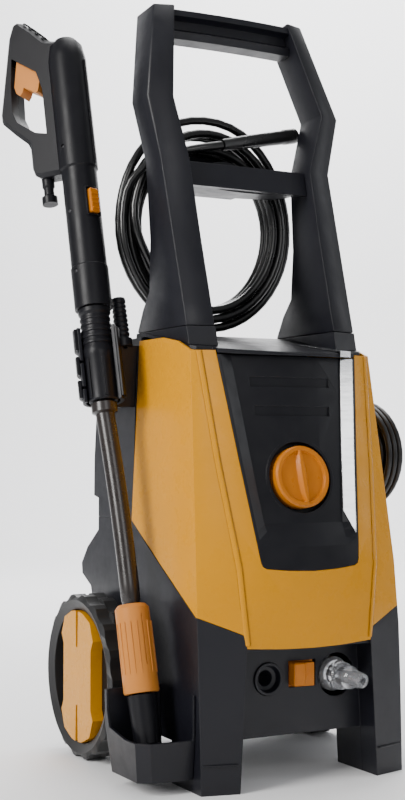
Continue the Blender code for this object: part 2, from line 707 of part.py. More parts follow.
# ---------------------------------------------------------------- knob and front fittings
def power_knob():
    place = knob_frame()
    base = -0.0105
    top = base + 0.0165
    outline = [(0, base), (KNOB_R, base), (KNOB_R, top - 0.0020), (KNOB_R - 0.0020, top),
               (KNOB_R - 0.0055, top), (KNOB_R - 0.0070, top - 0.0030), (0, top - 0.0030)]
    obj = lathe("power_knob", outline, orange(), 36, place)
    rings = []
    for k in range(9):
        y = 0.0285 * (k / 4 - 1)
        w = 0.0012 + 0.0062 * math.sqrt(max(0.0, 1 - (y / 0.0290) ** 2))
        rings.append([(-w, y, top - 0.0050), (-0.3 * w, y, top + 0.0014), (0.3 * w, y, top + 0.0014),
                      (w, y, top - 0.0050)])
    grip = loft("add_knob_grip", rings, orange())
    grip.matrix_world = place @ Matrix.Rotation(math.radians(4), 4, "Z")
    boolean(obj, grip, "UNION")
    boolean(obj, rod("add_knob_shaft", 0.0045, base - 0.0120, base + 0.001, orange(), 16, place),
            "UNION")
    return obj


def rotary_switch():
    place = knob_frame()
    obj = box("rotary_switch", (-0.020, -0.018, -0.0480), (0.020, 0.018, -0.0240),
              ("grey_plastic", (0.25, 0.25, 0.26), 0.0, 0.5))
    obj.matrix_world = place
    return obj


def fitting(spot):
    """Axis of a front fitting, square to the front panel, which lies at 0.016 along it."""
    return along((spot[0], PANEL_Y + 0.016, spot[1]), (0, -1, 0))


def outlet_socket():
    y = 0.016
    outline = [(0.0058, y - 0.030), (0.0110, y - 0.030), (0.0110, y - 0.0075), (0.0172, y - 0.0075),
               (0.0172, y + 0.0022), (0.0145, y + 0.0022), (0.0125, y - 0.0050),
               (0.0085, y - 0.0060), (0.0058, y - 0.0160)]
    return lathe("outlet_socket", outline, black(), 24, fitting(OUTLET))


LATCH_X = -0.0080            # left edge of the release key


def hose_latch():
    """Release key beside the outlet: a pad and a lower wing on a slide behind the panel."""
    x, back = LATCH_X, PANEL_Y + WALL + 0.0010
    obj = box("hose_latch", (x, PANEL_Y - 0.0098, 0.1000), (x + 0.0142, back, 0.1250), orange())
    wing = box("add_latch_wing", (x + 0.0132, PANEL_Y - 0.0058, 0.0992), (x + 0.0267, back, 0.1240),
               orange())
    slide = box("add_latch_slide", (x - 0.0020, PANEL_Y + WALL + GAP, 0.0962),
                (x + 0.0300, PANEL_Y + WALL + 0.0040, 0.1282), orange())
    bevel(obj, 0.0015, 1)
    boolean(obj, wing, "UNION")
    boolean(obj, slide, "UNION")
    return obj


def inlet_union():
    """Threaded stub of the pump that shows in the round opening."""
    outline = [(0.0060, -0.0400), (0.0120, -0.0400), (0.0120, -0.0060), (0.0165, -0.0060),
               (0.0165, -0.0020), (0.0100, -0.0020), (0.0100, 0.0060), (0.0060, 0.0060)]
    return lathe("inlet_union", outline, black(), 20, fitting(INLET))


def inlet_collar():
    """Clear screw collar with ribs, turned by hand."""
    outline = [(0.0104, -0.0014), (0.0184, -0.0014), (0.0184, 0.0110), (0.0160, 0.0135),
               (0.0075, 0.0135), (0.0075, 0.0082), (0.0104, 0.0068)]
    return lathe("inlet_collar", outline, clear(), 24, fitting(INLET))


def inlet_tail():
    """Clear stepped tail that takes the tap hose."""
    outline = [(0.0040, 0.0066), (0.0057, 0.0066), (0.0072, 0.0086), (0.0072, 0.0138),
               (0.0150, 0.0138), (0.0152, 0.0290), (0.0140, 0.0307), (0.0112, 0.0312),
               (0.0112, 0.0420), (0.0125, 0.0435), (0.0100, 0.0500), (0.0085, 0.0515),
               (0.0078, 0.0560), (0.0090, 0.0580), (0.0078, 0.0660), (0.0070, 0.0669),
               (0.0040, 0.0669)]
    return lathe("inlet_tail", outline, clear(), 20, fitting(INLET))


# ---------------------------------------------------------------- motor and pump
PUMP_X, PUMP_Y = 0.0075, 0.1350


def upright(z=0.0):
    return along((PUMP_X, PUMP_Y, z), (0, 0, 1))


def motor_parts():
    grey = ("cast_aluminium", (0.45, 0.46, 0.47), 1.0, 0.5)
    outline = [(0.0300, 0.2210), (0.0520, 0.2210), (0.0520, 0.3790), (0.0300, 0.3790)]
    lathe("motor_stator", outline, steel(), 24, upright())
    shaft = [(0, 0.2100), (0.0060, 0.2100), (0.0060, 0.2260), (0.0290, 0.2260), (0.0290, 0.3740),
             (0.0060, 0.3740), (0.0060, 0.4100), (0, 0.4100)]
    lathe("motor_rotor", shaft, ("copper_winding", (0.60, 0.28, 0.12), 1.0, 0.4), 16, upright())
    star = []
    for i in range(8):
        for r, lag in ((0.0440, -0.018), (0.0440, 0.018), (0.0120, 0.10), (0.0120, 0.685)):
            t = math.radians(45 * i) + lag
            star.append((r * math.cos(t), r * math.sin(t)))
    hub = prism("motor_fan", "Z", star, 0.3860, 0.4000, black())
    hub.matrix_world = upright()
    boolean(hub, rod("add_fan_disc", 0.0460, 0.3850, 0.3870, black(), 32, upright()), "UNION")
    boolean(hub, rod("cut_fan_bore", 0.0063, 0.37, 0.42, black(), 20, upright()))
    case = [(0.0078, 0.2050), (0.0078, 0.2205), (0.0480, 0.2205), (0.0480, 0.1700),
            (0.0450, 0.1700), (0.0450, 0.2050)]
    lathe("wobble_housing", case, grey, 24, upright())
    plate = [(0, 0.1780), (0.0300, 0.1860), (0.0300, 0.1960), (0.0070, 0.1990), (0.0070, 0.2090),
             (0, 0.2090)]
    lathe("wobble_plate", plate, steel(), 20, upright())
    head = rod("pump_head", 0.0560, 0.0900, 0.1695, grey, 28, upright())
    bevel(head, 0.003, 1)
    rod("outlet_pipe", 0.0085, -0.0780, -0.0145, grey, 20, fitting(OUTLET))
    rod("inlet_pipe", 0.0085, -0.0780, -0.0405, grey, 20, fitting(INLET))
    boolean(head, rod("cut_outlet_seat", 0.0088, -0.0785, 0.02, grey, 20, fitting(OUTLET)))
    boolean(head, rod("cut_inlet_seat", 0.0088, -0.0785, 0.02, grey, 20, fitting(INLET)))


def pump_mount():
    """Plate across the chassis that the pump sits on."""
    plate = box("pump_mount", (-0.0900, 0.0750, UNDER_Z + WALL + GAP),
                (0.0900, 0.2100, UNDER_Z + WALL + 0.0060), steel())
    post = ring_solid("add_mount_ring", 0.0350, 0.0440, UNDER_Z + WALL + 0.005, 0.0897, steel(),
                      24, upright())
    boolean(plate, post, "UNION")
    return plate


def capacitor():
    return rod("capacitor", 0.0170, 0.3000, 0.3700, ("grey_plastic", (0.25, 0.25, 0.26), 0.0, 0.5),
               24, along((0.0780, 0.2250, 0), (0, 0, 1)))


# ---------------------------------------------------------------- lance, gun, their holders
def long_frame(foot, head):
    """Local X points out along the grip, local Z from the foot to the head."""
    z = (head - foot).normalized()
    x = (LOOP_OUT - LOOP_OUT.dot(z) * z).normalized()
    y = z.cross(x)
    frame = Matrix((x, y, z)).transposed().to_4x4()
    frame.translation = foot
    return frame


def gun_frame():
    return long_frame(GUN_FOOT, GUN_HEAD)


def tip_frame():
    return long_frame(LANCE_FOOT, LANCE_AIM)


SLEEVE_LOW = 0.0520
SLEEVE_TOP = SLEEVE_LOW + SLEEVE_LEN


def nozzle_tip():
    obj = lathe("nozzle_tip", [(0.0060, 0.0000), (0.0142, 0.0000), (0.0158, 0.0500),
                               (0.0100, 0.0516), (0.0060, 0.0450)], black(), 27, tip_frame())
    for i in range(9):
        turn = Matrix.Rotation(math.radians(40 * i), 4, "Z")
        fin = prism(f"cut_fin_{i}", "Y", [(0.0130, -0.002), (0.0200, -0.002), (0.0200, 0.0300),
                                          (0.0165, 0.0300)], -0.0012, 0.0012, black())
        fin.matrix_world = tip_frame() @ turn
        boolean(obj, fin)
    return obj


def nozzle_sleeve():
    outline = [(TUBE_R + 0.0004, SLEEVE_LOW + 0.006), (TUBE_R + 0.0004, SLEEVE_LOW),
               (SLEEVE_R - 0.001, SLEEVE_LOW), (SLEEVE_R, SLEEVE_LOW + 0.002),
               (SLEEVE_R - 0.0006, SLEEVE_TOP - 0.004), (SLEEVE_R - 0.004, SLEEVE_TOP),
               (TUBE_R + 0.0004, SLEEVE_TOP)]
    obj = lathe("nozzle_sleeve", outline, tan(), 27, tip_frame())
    for i in range(3):
        turn = Matrix.Rotation(math.radians(120 * i + 30), 4, "Z")
        groove = box(f"cut_sleeve_{i}", (SLEEVE_R - 0.0016, -0.0006, SLEEVE_LOW + 0.028),
                     (SLEEVE_R + 0.01, 0.0006, SLEEVE_TOP - 0.012), tan())
        groove.matrix_world = tip_frame() @ turn
        boolean(obj, groove)
    return obj


def lance_tube():
    """Slightly bent tube, with a stop ring under the coupling and a stem inside it."""
    tip, gun = tip_frame(), gun_frame()
    low, high = 0.1500, 0.3560
    spots = [(tip, 0.0530, TUBE_R - 0.0014), (tip, 0.0600, TUBE_R - 0.0008),
             (tip, 0.1480, TUBE_R - 0.0008), (tip, low, TUBE_R)]
    stations = [(f @ Vector((0, 0, s)), f.to_3x3().col[2].copy(), r) for f, s, r in spots]
    a, b = tip @ Vector((0, 0, low)), gun @ Vector((0, 0, high))
    side = Vector((0.92, -0.40, 0.0))
    for k in range(1, 12):
        t = k / 12
        mid = a.lerp(b, t) + side * (0.0064 * t * (1 - t))
        aim = (b - a) + side * (0.0064 * (1 - 2 * t))
        stations.append((mid, aim.normalized(), TUBE_R))
    for s, r in ((high, TUBE_R), (0.3580, 0.0145), (0.3680, 0.0145), (0.3700, 0.0100),
                 (0.4900, 0.0100)):
        stations.append((gun @ Vector((0, 0, s)), gun.to_3x3().col[2].copy(), r))
    rings = []
    for spot, aim, radius in stations:
        x = LOOP_OUT.cross(aim).normalized()
        y = aim.cross(x)
        turn = [2 * math.pi * i / 20 for i in range(20)]
        rings.append([spot + radius * (math.cos(t) * x + math.sin(t) * y) for t in turn])
    obj = loft("lance_tube", rings, black())
    shade_by_angle(obj)
    return obj


def lance_coupling():
    """Ribbed bayonet body between the tube and the gun."""
    outline = [(0.0104, 0.3705), (0.0160, 0.3705), (0.0170, 0.3720), (0.0170, 0.4200),
               (0.0180, 0.4230), (0.0180, 0.4300), (0.0166, 0.4330), (0.0166, 0.4700),
               (0.0185, 0.4730), (0.0185, 0.4780), (0.0104, 0.4780)]
    obj = lathe("lance_coupling", outline, black(), 20, gun_frame())
    for i in range(6):
        turn = Matrix.Rotation(math.radians(60 * i + 15), 4, "Z")
        rib = box(f"add_coupling_rib_{i}", (0.0150, -0.0017, 0.3740), (0.0186, 0.0017, 0.4180),
                  black())
        rib.matrix_world = gun_frame() @ turn
        boolean(obj, rib, "UNION")
    return obj


# outline of the grip loop in the gun's plane: out from the barrel, and along it
LOOP = ((0.0050, 0.8150), (0.0210, 0.8215), (0.0370, 0.8410), (0.0540, 0.8590), (0.0640, 0.8600),
        (0.0720, 0.8420), (0.0800, 0.8050), (0.0935, 0.7440), (0.0910, 0.7350), (0.0740, 0.7150),
        (0.0560, 0.6960), (0.0560, 0.6620), (0.0500, 0.6520), (0.0050, 0.6460))
WINDOW = ((0.0365, 0.7850), (0.0685, 0.8130), (0.0730, 0.7790), (0.0745, 0.7450),
          (0.0690, 0.7290), (0.0450, 0.7080), (0.0300, 0.7020), (0.0300, 0.7600))


def gun_solid(name, side):
    """One half of the gun shell: side 1 faces the front of the machine."""
    place = gun_frame()
    barrel = [(0.0184, 0.4790), (0.0215, 0.4790), (0.0215, 0.5280), (0.0205, 0.5290),
              (0.0205, 0.6480), (0.0225, 0.6500), (0.0225, 0.7900), (0.0195, 0.8080),
              (0.0130, 0.8165), (0, 0.8170), (0, 0.8120), (0.0150, 0.8080), (0.0184, 0.7900)]
    body = lathe(name, barrel, black(), 28, place)
    slab = prism("add_loop_" + name, "Y", LOOP, -0.0140, 0.0140, black())
    slab.matrix_world = place
    bevel(slab, 0.0045, 1, 25)
    boolean(body, slab, "UNION")
    hole = prism("cut_window_" + name, "Y", WINDOW, -0.04, 0.04, black())
    hole.matrix_world = place
    boolean(body, hole)
    core = rod("cut_core_" + name, 0.0186, 0.47, 0.7900, black(), 28, place)
    boolean(body, core)
    well = prism("cut_trigger_" + name, "Y", [(0.0100, 0.7700), (0.0340, 0.7620), (0.0770, 0.8120),
                                              (0.0700, 0.8350), (0.0550, 0.8470), (0.0400, 0.8350),
                                              (0.0100, 0.8000)], -0.0105, 0.0105, black())
    well.matrix_world = place
    boolean(body, well)
    port = rod("cut_port_" + name, 0.0078, 0.60, 0.690, black(), 24,
               place @ Matrix.Translation((0.0430, 0, 0)))
    boolean(body, port)
    link = rod("cut_link_" + name, 0.0065, 0.0, 0.050, black(), 20,
               place @ Matrix.Translation((0, 0, 0.6780)) @ Matrix.Rotation(math.pi / 2, 4, "Y"))
    boolean(body, link)
    key = box("cut_key_" + name, (-0.0300, -0.0065, 0.5880), (-0.0150, 0.0065, 0.6180), black())
    key.matrix_world = place @ Matrix.Rotation(BUTTON_TURN, 4, "Z")
    boolean(body, key)
    if side > 0:
        drop = box("cut_half_" + name, (-0.1, -0.1, 0.3), (0.2, 0.00015, 1.0), black())
    else:
        drop = box("cut_half_" + name, (-0.1, -0.00015, 0.3), (0.2, 0.1, 1.0), black())
    drop.matrix_world = place
    boolean(body, drop)
    for i, s in enumerate((0.5220, 0.5950, 0.6750, 0.7880)):
        if side > 0 and i < 3:
            spot = place @ Matrix.Translation((0.0060, 0, s)) @ Matrix.Rotation(-math.pi / 2, 4, "X")
            boolean(body, rod(f"cut_screw_{i}_{name}", 0.0026, 0.0195, 0.0300, black(), 14, spot))
    return body


def gun_valve():
    """Valve block with the threaded hose stub that leaves the gun downwards."""
    place = gun_frame()
    body = rod("gun_valve", 0.0120, 0.4915, 0.7600, black(), 24,
               place)
    arm = rod("add_valve_arm", 0.0060, 0.0, 0.0430, black(), 18,
              place @ Matrix.Translation((0, 0, 0.6780)) @ Matrix.Rotation(math.pi / 2, 4, "Y"))
    boolean(body, arm, "UNION")
    stub = lathe("add_valve_stub", [(0, 0.6200), (0.0092, 0.6200), (0.0092, 0.6290),
                                    (0.0060, 0.6310), (0.0060, 0.6400), (0.0074, 0.6420),
                                    (0.0074, 0.6840), (0, 0.6840)],
                 black(), 24,
                 place @ Matrix.Translation((0.0430, 0, 0)))
    boolean(body, stub, "UNION")
    return body


TRIGGER_PIVOT = (0.0300, 0.7850)   # out and along, in the gun's plane


def trigger():
    outline = [(0.0150, 0.7960), (0.0240, 0.8080), (0.0330, 0.8130), (0.0520, 0.8320),
               (0.0590, 0.8290), (0.0640, 0.8130), (0.0710, 0.7780), (0.0690, 0.7690),
               (0.0640, 0.7640), (0.0600, 0.7680), (0.0580, 0.7730), (0.0420, 0.7610),
               (0.0390, 0.7620), (0.0340, 0.7780), (0.0180, 0.7800)]
    px, pz = TRIGGER_PIVOT
    body = prism("trigger", "Y", [(x - px, z - pz) for x, z in outline], -0.0095, 0.0095, tan())
    body.matrix_world = gun_frame() @ Matrix.Translation((px, 0, pz))
    pin = rod("cut_trigger_pin", 0.0022, -0.05, 0.05, tan(), 16,
              gun_frame() @ Matrix.Translation((px, 0, pz)) @ Matrix.Rotation(math.pi / 2, 4, "X"))
    boolean(body, pin)
    return body


def trigger_pin():
    px, pz = TRIGGER_PIVOT
    return rod("trigger_pin", 0.0018, -0.0100, 0.0100, steel(), 16,
               gun_frame() @ Matrix.Translation((px, 0, pz)) @ Matrix.Rotation(math.pi / 2, 4, "X"))


def lance_button():
    body = box("lance_button", (-0.0255, -0.0060, 0.5885), (-0.0150, 0.0060, 0.6175), orange())
    body.matrix_world = gun_frame() @ Matrix.Rotation(BUTTON_TURN, 4, "Z")
    bevel(body, 0.0012, 1)
    return body


def holder_cup():
    """Open pocket on the left of the chassis that takes the nozzle."""
    base = ((-0.1263, 0.0146), (-0.1414, 0.0146), (-0.1733, 0.0168), (-0.1855, 0.0271),
            (-0.1865, 0.0900), (-0.1263, 0.0900))

    def ring(z, grow):
        rows = []
        for x, y in base:
            rx = x - (grow if x < -0.15 else 0.0)
            ry = y - grow if y < 0.05 else y + grow
            rows.append((rx, ry, z))
        return rows

    body = loft("holder_cup", [ring(0.0140, -0.002), ring(0.0620, 0.0035), ring(0.1000, 0.0040)],
                black())
    hole = loft("cut_cup", [ring(0.0170, -0.0050), ring(0.0620, 0.0005), ring(0.1200, 0.0010)],
                black())
    boolean(body, hole)
    rim = [(-0.1, 0.0550), (0.0500, 0.0550), (0.0840, 0.0620), (0.0890, 0.0790), (0.0890, 0.2),
           (-0.1, 0.2)]
    boolean(body, prism("cut_cup_rim", "X", rim, -0.3, -0.1288, black()))
    return body


def lance_clip():
    """Open clamp: wall plate, back, outer fingers and the sprung flap near the casing."""
    place = gun_frame()
    low, high = 0.3700, 0.4560
    arc = []
    inner, outer = 0.0192, 0.0232
    # open towards the front of the machine
    face = Vector((-0.45, -0.89, 0.0))
    local = place.to_3x3().inverted() @ face
    turn = math.atan2(local.y, local.x) + math.pi
    start, stop = turn - math.radians(118), turn + math.radians(118)
    steps = 16
    for r in (outer, inner):
        run = [(r * math.cos(start + (stop - start) * i / steps),
                r * math.sin(start + (stop - start) * i / steps)) for i in range(steps + 1)]
        arc += run if r == outer else run[::-1]
    body = prism("lance_clip", "Z", arc, low, high, black())
    body.matrix_world = place
    for i, s in enumerate((0.3850, 0.4150)):
        gap = box(f"cut_clip_gap_{i}", (-0.06, -0.06, s), (0.06, 0.06, s + 0.0030), black())
        gap.matrix_world = place @ Matrix.Rotation(stop - math.radians(48), 4, "Z") @ Matrix.Translation(
            (0.06, 0.045, 0))
        boolean(body, gap)
    return body


SPARE_FOOT = Vector((-0.1310, 0.1790, 0.4770))


def spare_frame():
    return along(SPARE_FOOT, GUN_HEAD - GUN_FOOT)


def clip_bracket():
    """Arm from the rear cover to the clip, with a round seat for the spare nozzle."""
    rings = []
    for z in (0.4000, 0.4600, 0.4700):
        wall = -between(BACK, z)[0] - GAP
        rings.append([(wall, 0.1720, z), (-0.1500, 0.1720, z), (-0.1620, 0.1950, z),
                      (-0.1560, 0.2080, z), (wall, 0.2300, z)])
    body = loft("clip_bracket", rings, black())
    seat = rod("add_spare_seat", 0.0108, -0.0100, -GAP, black(), 20, spare_frame())
    boolean(body, seat, "UNION")
    boolean(body, rod("cut_clip_seat", 0.0232 + GAP, 0.30, 0.60, black(), 32, gun_frame()))
    boolean(body, rod("cut_spare_seat", 0.0048, -0.0120, 0.02, black(), 16, spare_frame()))
    return body


def spare_nozzle():
    count, pitch = 8, 0.0056
    outline = [(0, -0.0100), (0.0045, -0.0100), (0.0045, 0.0), (0.0088, 0.0)]
    z = 0.003
    for i in range(count):
        r = 0.0088 - 0.00008 * i
        outline += [(r - 0.0011, z), (r, z + 0.0012), (r, z + 0.0038)]
        z += pitch
    outline += [(0.0078, z + 0.001), (0.0045, z + 0.001), (0.0045, z - 0.02), (0, z - 0.02)]
    return lathe("spare_nozzle", outline, black(), 12, spare_frame())


# ---------------------------------------------------------------- hose and mains cord
def oval(center, a, b, axis, t):
    """Point of an upright oval: across Y planes (hose) or across X planes (mains cord)."""
    if axis == "Y":
        return Vector((center.x + a * math.sin(t), center.y, center.z + b * math.cos(t)))
    return Vector((center.x, center.y + a * math.sin(t), center.z + b * math.cos(t)))


def bundle(name, center, a, b, axis, radial, thick, look, seg=30, around=8):
    rings = []
    for i in range(seg):
        t = 2 * math.pi * i / seg
        spot = oval(center, a, b, axis, t)
        out = (oval(center, a, b, axis, t) - center).normalized()
        side = Vector((0, 1, 0)) if axis == "Y" else Vector((1, 0, 0))
        rad = radial(t)
        ring = []
        for k in range(around):
            u = 2 * math.pi * k / around
            ring.append(spot + out * rad * math.cos(u) + side * thick * math.sin(u))
        rings.append(ring)
    return loft(name, rings, look, closed=True)


HOSE_SLEEVE_A = Vector((-0.0180, 0.1500, 0.7060))
HOSE_SLEEVE_B = Vector((0.0970, 0.1765, 0.7340))
HOSE_TAIL = ((-0.0186, 0.1498, 0.7058), (-0.0380, 0.1440, 0.7000), (-0.0560, 0.1460, 0.6930),
             (-0.0680, 0.1590, 0.6860))
HOSE_PLUG_TOP = Vector((-0.0680, 0.1960, 0.6680))


def hose_parts():
    bundle("hose_coil", COIL_C, COIL_A, COIL_B, "Y",
           lambda t: 0.0165 + 0.0130 * max(0.0, math.cos(t)) ** 2, 0.0175, rubber())
    curve_tube("hose_tail", smooth_route(HOSE_TAIL, 0.015), HOSE_D, rubber())
    place = along(HOSE_SLEEVE_A, HOSE_SLEEVE_B - HOSE_SLEEVE_A)
    length = (HOSE_SLEEVE_B - HOSE_SLEEVE_A).length
    lathe("hose_sleeve", [(0, 0), (0.0066, 0), (0.0078, 0.030), (0.0085, length - 0.02),
                          (0.0093, length - 0.018), (0.0093, length), (0, length)],
          rubber(), 20, place)
    lathe("hose_plug", [(0, 0), (0.0064, 0), (0.0082, 0.0350), (0.0095, 0.0360), (0.0095, 0.0560),
                        (0.0060, 0.0570), (0.0060, 0.0700), (0.0048, 0.0720), (0.0048, 0.0820),
                        (0, 0.0820)], rubber(), 20, along(HOSE_PLUG_TOP, (0.06, 0.05, -1)))


CORD_TAIL = ((0.1350, 0.2500, 0.3150), (0.1500, 0.2490, 0.3160), (0.1565, 0.2420, 0.3230),
             (0.1575, 0.2300, 0.3360))

CORD_PLUG_TOP = Vector((0.1575, 0.1800, 0.2470))


def cord_parts():
    bundle("cord_hank", HANK_C, HANK_A, HANK_B, "X", lambda t: 0.0135, HANK_T, rubber())
    gland = [(0.0036, -0.0080), (0.0060, -0.0080), (0.0060, 0.0000), (0.0085, 0.0003),
             (0.0085, 0.0030), (0.0055, 0.0130), (0.0036, 0.0130)]
    lathe("cord_gland", gland, rubber(), 20, along((0.1222, CORD_EXIT_Y, CORD_EXIT_Z), (1, 0, 0)))
    curve_tube("cord_tail", smooth_route(CORD_TAIL, 0.014), CORD_D, rubber())
    plug = [(0, 0), (0.0050, 0), (0.0062, 0.0120), (0.0150, 0.0200), (0.0150, 0.0420), (0, 0.0420)]
    body = lathe("cord_plug", plug, rubber(), 20, along(CORD_PLUG_TOP, (0, 0, -1)))
    for i, x in enumerate((-0.0095, 0.0095)):
        pin = rod(f"add_plug_pin_{i}", 0.0023, -0.0570, -0.0410, steel(), 10,
                  Matrix.Translation(CORD_PLUG_TOP + Vector((0, x, 0))))
        boolean(body, pin, "UNION")


def cord_hook():
    """Arm on the rear cover's right side with a shelf and a raised lip."""
    body = box("cord_hook", (0.1204, 0.1180, 0.3600), (0.1400, 0.2050, 0.3780), black())
    boolean(body, box("add_hook_shelf", (0.1390, 0.1180, 0.3700), (0.1750, 0.1560, 0.3780), black()),
            "UNION")
    boolean(body, box("add_hook_lip", (0.1730, 0.1200, 0.3700), (0.1760, 0.1540, 0.3980), black()),
            "UNION")
    return body


def build():
    front_cover()
    control_panel()
    chrome_trim()
    chrome_trim_top()
    top_lid()
    chassis()
    rear_cover()
    for label, sign in (("left", -1), ("right", 1)):
        handle_post(f"handle_post_{label}", sign)
        handle_socket(f"handle_socket_{label}", sign)
        tyre(f"tyre_{label}", sign)
        wheel_rim(f"wheel_rim_{label}", sign)
        hub_cover(f"hub_cover_{label}", sign)
    grip_bar()
    crossbar()
    axle()
    power_knob()
    rotary_switch()
    outlet_socket()
    hose_latch()
    inlet_union()
    inlet_collar()
    inlet_tail()
    motor_parts()
    pump_mount()
    capacitor()
    nozzle_tip()
    nozzle_sleeve()
    lance_tube()
    lance_coupling()
    gun_solid("gun_shell_front", 1)
    gun_solid("gun_shell_back", -1)
    gun_valve()
    trigger()
    trigger_pin()
    lance_button()
    holder_cup()
    lance_clip()
    clip_bracket()
    spare_nozzle()
    hose_parts()
    cord_parts()
    cord_hook()
    for obj in bpy.data.objects:
        obj.matrix_world = Matrix.Translation(-ORIGIN) @ obj.matrix_world


build()
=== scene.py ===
"""Looks of the upright pressure washer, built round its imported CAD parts."""

import json
import math

import bpy
from mathutils import Matrix, Vector


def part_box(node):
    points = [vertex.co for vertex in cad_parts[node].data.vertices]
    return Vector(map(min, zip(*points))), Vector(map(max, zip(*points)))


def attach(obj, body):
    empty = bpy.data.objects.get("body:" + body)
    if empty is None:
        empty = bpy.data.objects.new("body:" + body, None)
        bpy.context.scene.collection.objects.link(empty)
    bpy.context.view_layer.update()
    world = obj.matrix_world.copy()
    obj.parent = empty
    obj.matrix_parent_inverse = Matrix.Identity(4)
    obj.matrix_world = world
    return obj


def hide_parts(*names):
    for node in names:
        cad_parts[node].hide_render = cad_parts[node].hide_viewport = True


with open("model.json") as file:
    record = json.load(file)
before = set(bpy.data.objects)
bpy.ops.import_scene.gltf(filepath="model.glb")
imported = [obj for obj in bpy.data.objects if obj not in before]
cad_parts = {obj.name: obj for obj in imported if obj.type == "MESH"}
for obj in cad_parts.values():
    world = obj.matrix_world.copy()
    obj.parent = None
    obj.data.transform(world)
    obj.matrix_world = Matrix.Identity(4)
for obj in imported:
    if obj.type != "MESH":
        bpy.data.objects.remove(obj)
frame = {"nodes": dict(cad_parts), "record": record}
NODES = frame["nodes"]
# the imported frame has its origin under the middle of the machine's box
BUILD = Vector((0.0265, -0.1507, 0.0))

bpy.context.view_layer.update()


def at(x, y, z):
    """A point of the part's own coordinates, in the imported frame."""
    return Vector((x, y, z)) + BUILD


# ---------------------------------------------------------------- camera, stage and light
def camera():
    data = bpy.data.cameras.new("camera")
    data.lens = 62.1
    data.sensor_width = 36.0
    obj = bpy.data.objects.new("camera", data)
    bpy.context.scene.collection.objects.link(obj)
    forward = Vector((0.4723, 0.8808, 0.0340)).normalized()
    obj.rotation_mode = "QUATERNION"
    obj.rotation_quaternion = forward.to_track_quat("-Z", "Y")
    obj.location = (-0.7651, -1.3960, 0.3548)
    bpy.context.scene.camera = obj


def area(name, spot, aim, size, power, rgb=(1, 1, 1)):
    data = bpy.data.lights.new(name, "AREA")
    data.shape = "RECTANGLE"
    data.size, data.size_y = size
    data.energy = power
    data.color = rgb
    obj = bpy.data.objects.new(name, data)
    bpy.context.scene.collection.objects.link(obj)
    obj.location = spot
    obj.rotation_mode = "QUATERNION"
    obj.rotation_quaternion = (Vector(aim) - Vector(spot)).to_track_quat("-Z", "Y")


def stage():
    world = bpy.data.worlds.new("studio")
    bpy.context.scene.world = world
    world.use_nodes = True
    back = world.node_tree.nodes["Background"]
    back.inputs["Color"].default_value = (0.93, 0.94, 0.96, 1)
    back.inputs["Strength"].default_value = 0.42
    mesh = bpy.data.meshes.new("floor")
    reach, rise, turn = 4.0, 3.2, 0.9
    line = [(-reach, 0.0)]
    for i in range(9):
        a = math.pi / 2 * i / 8
        line.append((2.4 + turn * math.sin(a), turn * (1 - math.cos(a))))
    line.append((2.4 + turn, rise))
    verts, faces = [], []
    for y, z in line:
        verts += [(-5.0, y, z), (5.0, y, z)]
    for i in range(len(line) - 1):
        faces.append((2 * i, 2 * i + 1, 2 * i + 3, 2 * i + 2))
    mesh.from_pydata(verts, [], faces)
    for poly in mesh.polygons:
        poly.use_smooth = True
    floor = bpy.data.objects.new("floor", mesh)
    bpy.context.scene.collection.objects.link(floor)
    floor.rotation_euler = (0, 0, -math.radians(28))
    look = bpy.data.materials.new("pale_floor")
    look.use_nodes = True
    shader = look.node_tree.nodes["Principled BSDF"]
    shader.inputs["Base Color"].default_value = (0.90, 0.90, 0.91, 1)
    shader.inputs["Roughness"].default_value = 0.75
    floor.data.materials.append(look)
    area("key", (-2.3, -0.5, 1.5), (0, 0, 0.40), (0.9, 1.5), 78, (1.0, 0.985, 0.96))
    area("front", (-0.5, -2.6, 1.5), (0, 0, 0.35), (1.2, 1.0), 13, (1.0, 0.99, 0.98))
    area("right", (1.9, -0.9, 1.1), (0, 0, 0.45), (0.4, 1.4), 6, (0.95, 0.97, 1.0))
    area("top", (0.2, 0.3, 2.3), (0, 0, 0.5), (1.0, 1.0), 18)
    area("rim", (0.7, 1.9, 1.4), (0, 0, 0.5), (0.8, 0.8), 14)
    area("backdrop", (1.2, 1.3, 2.6), (1.7, 3.2, 0.4), (2.4, 1.0), 150)


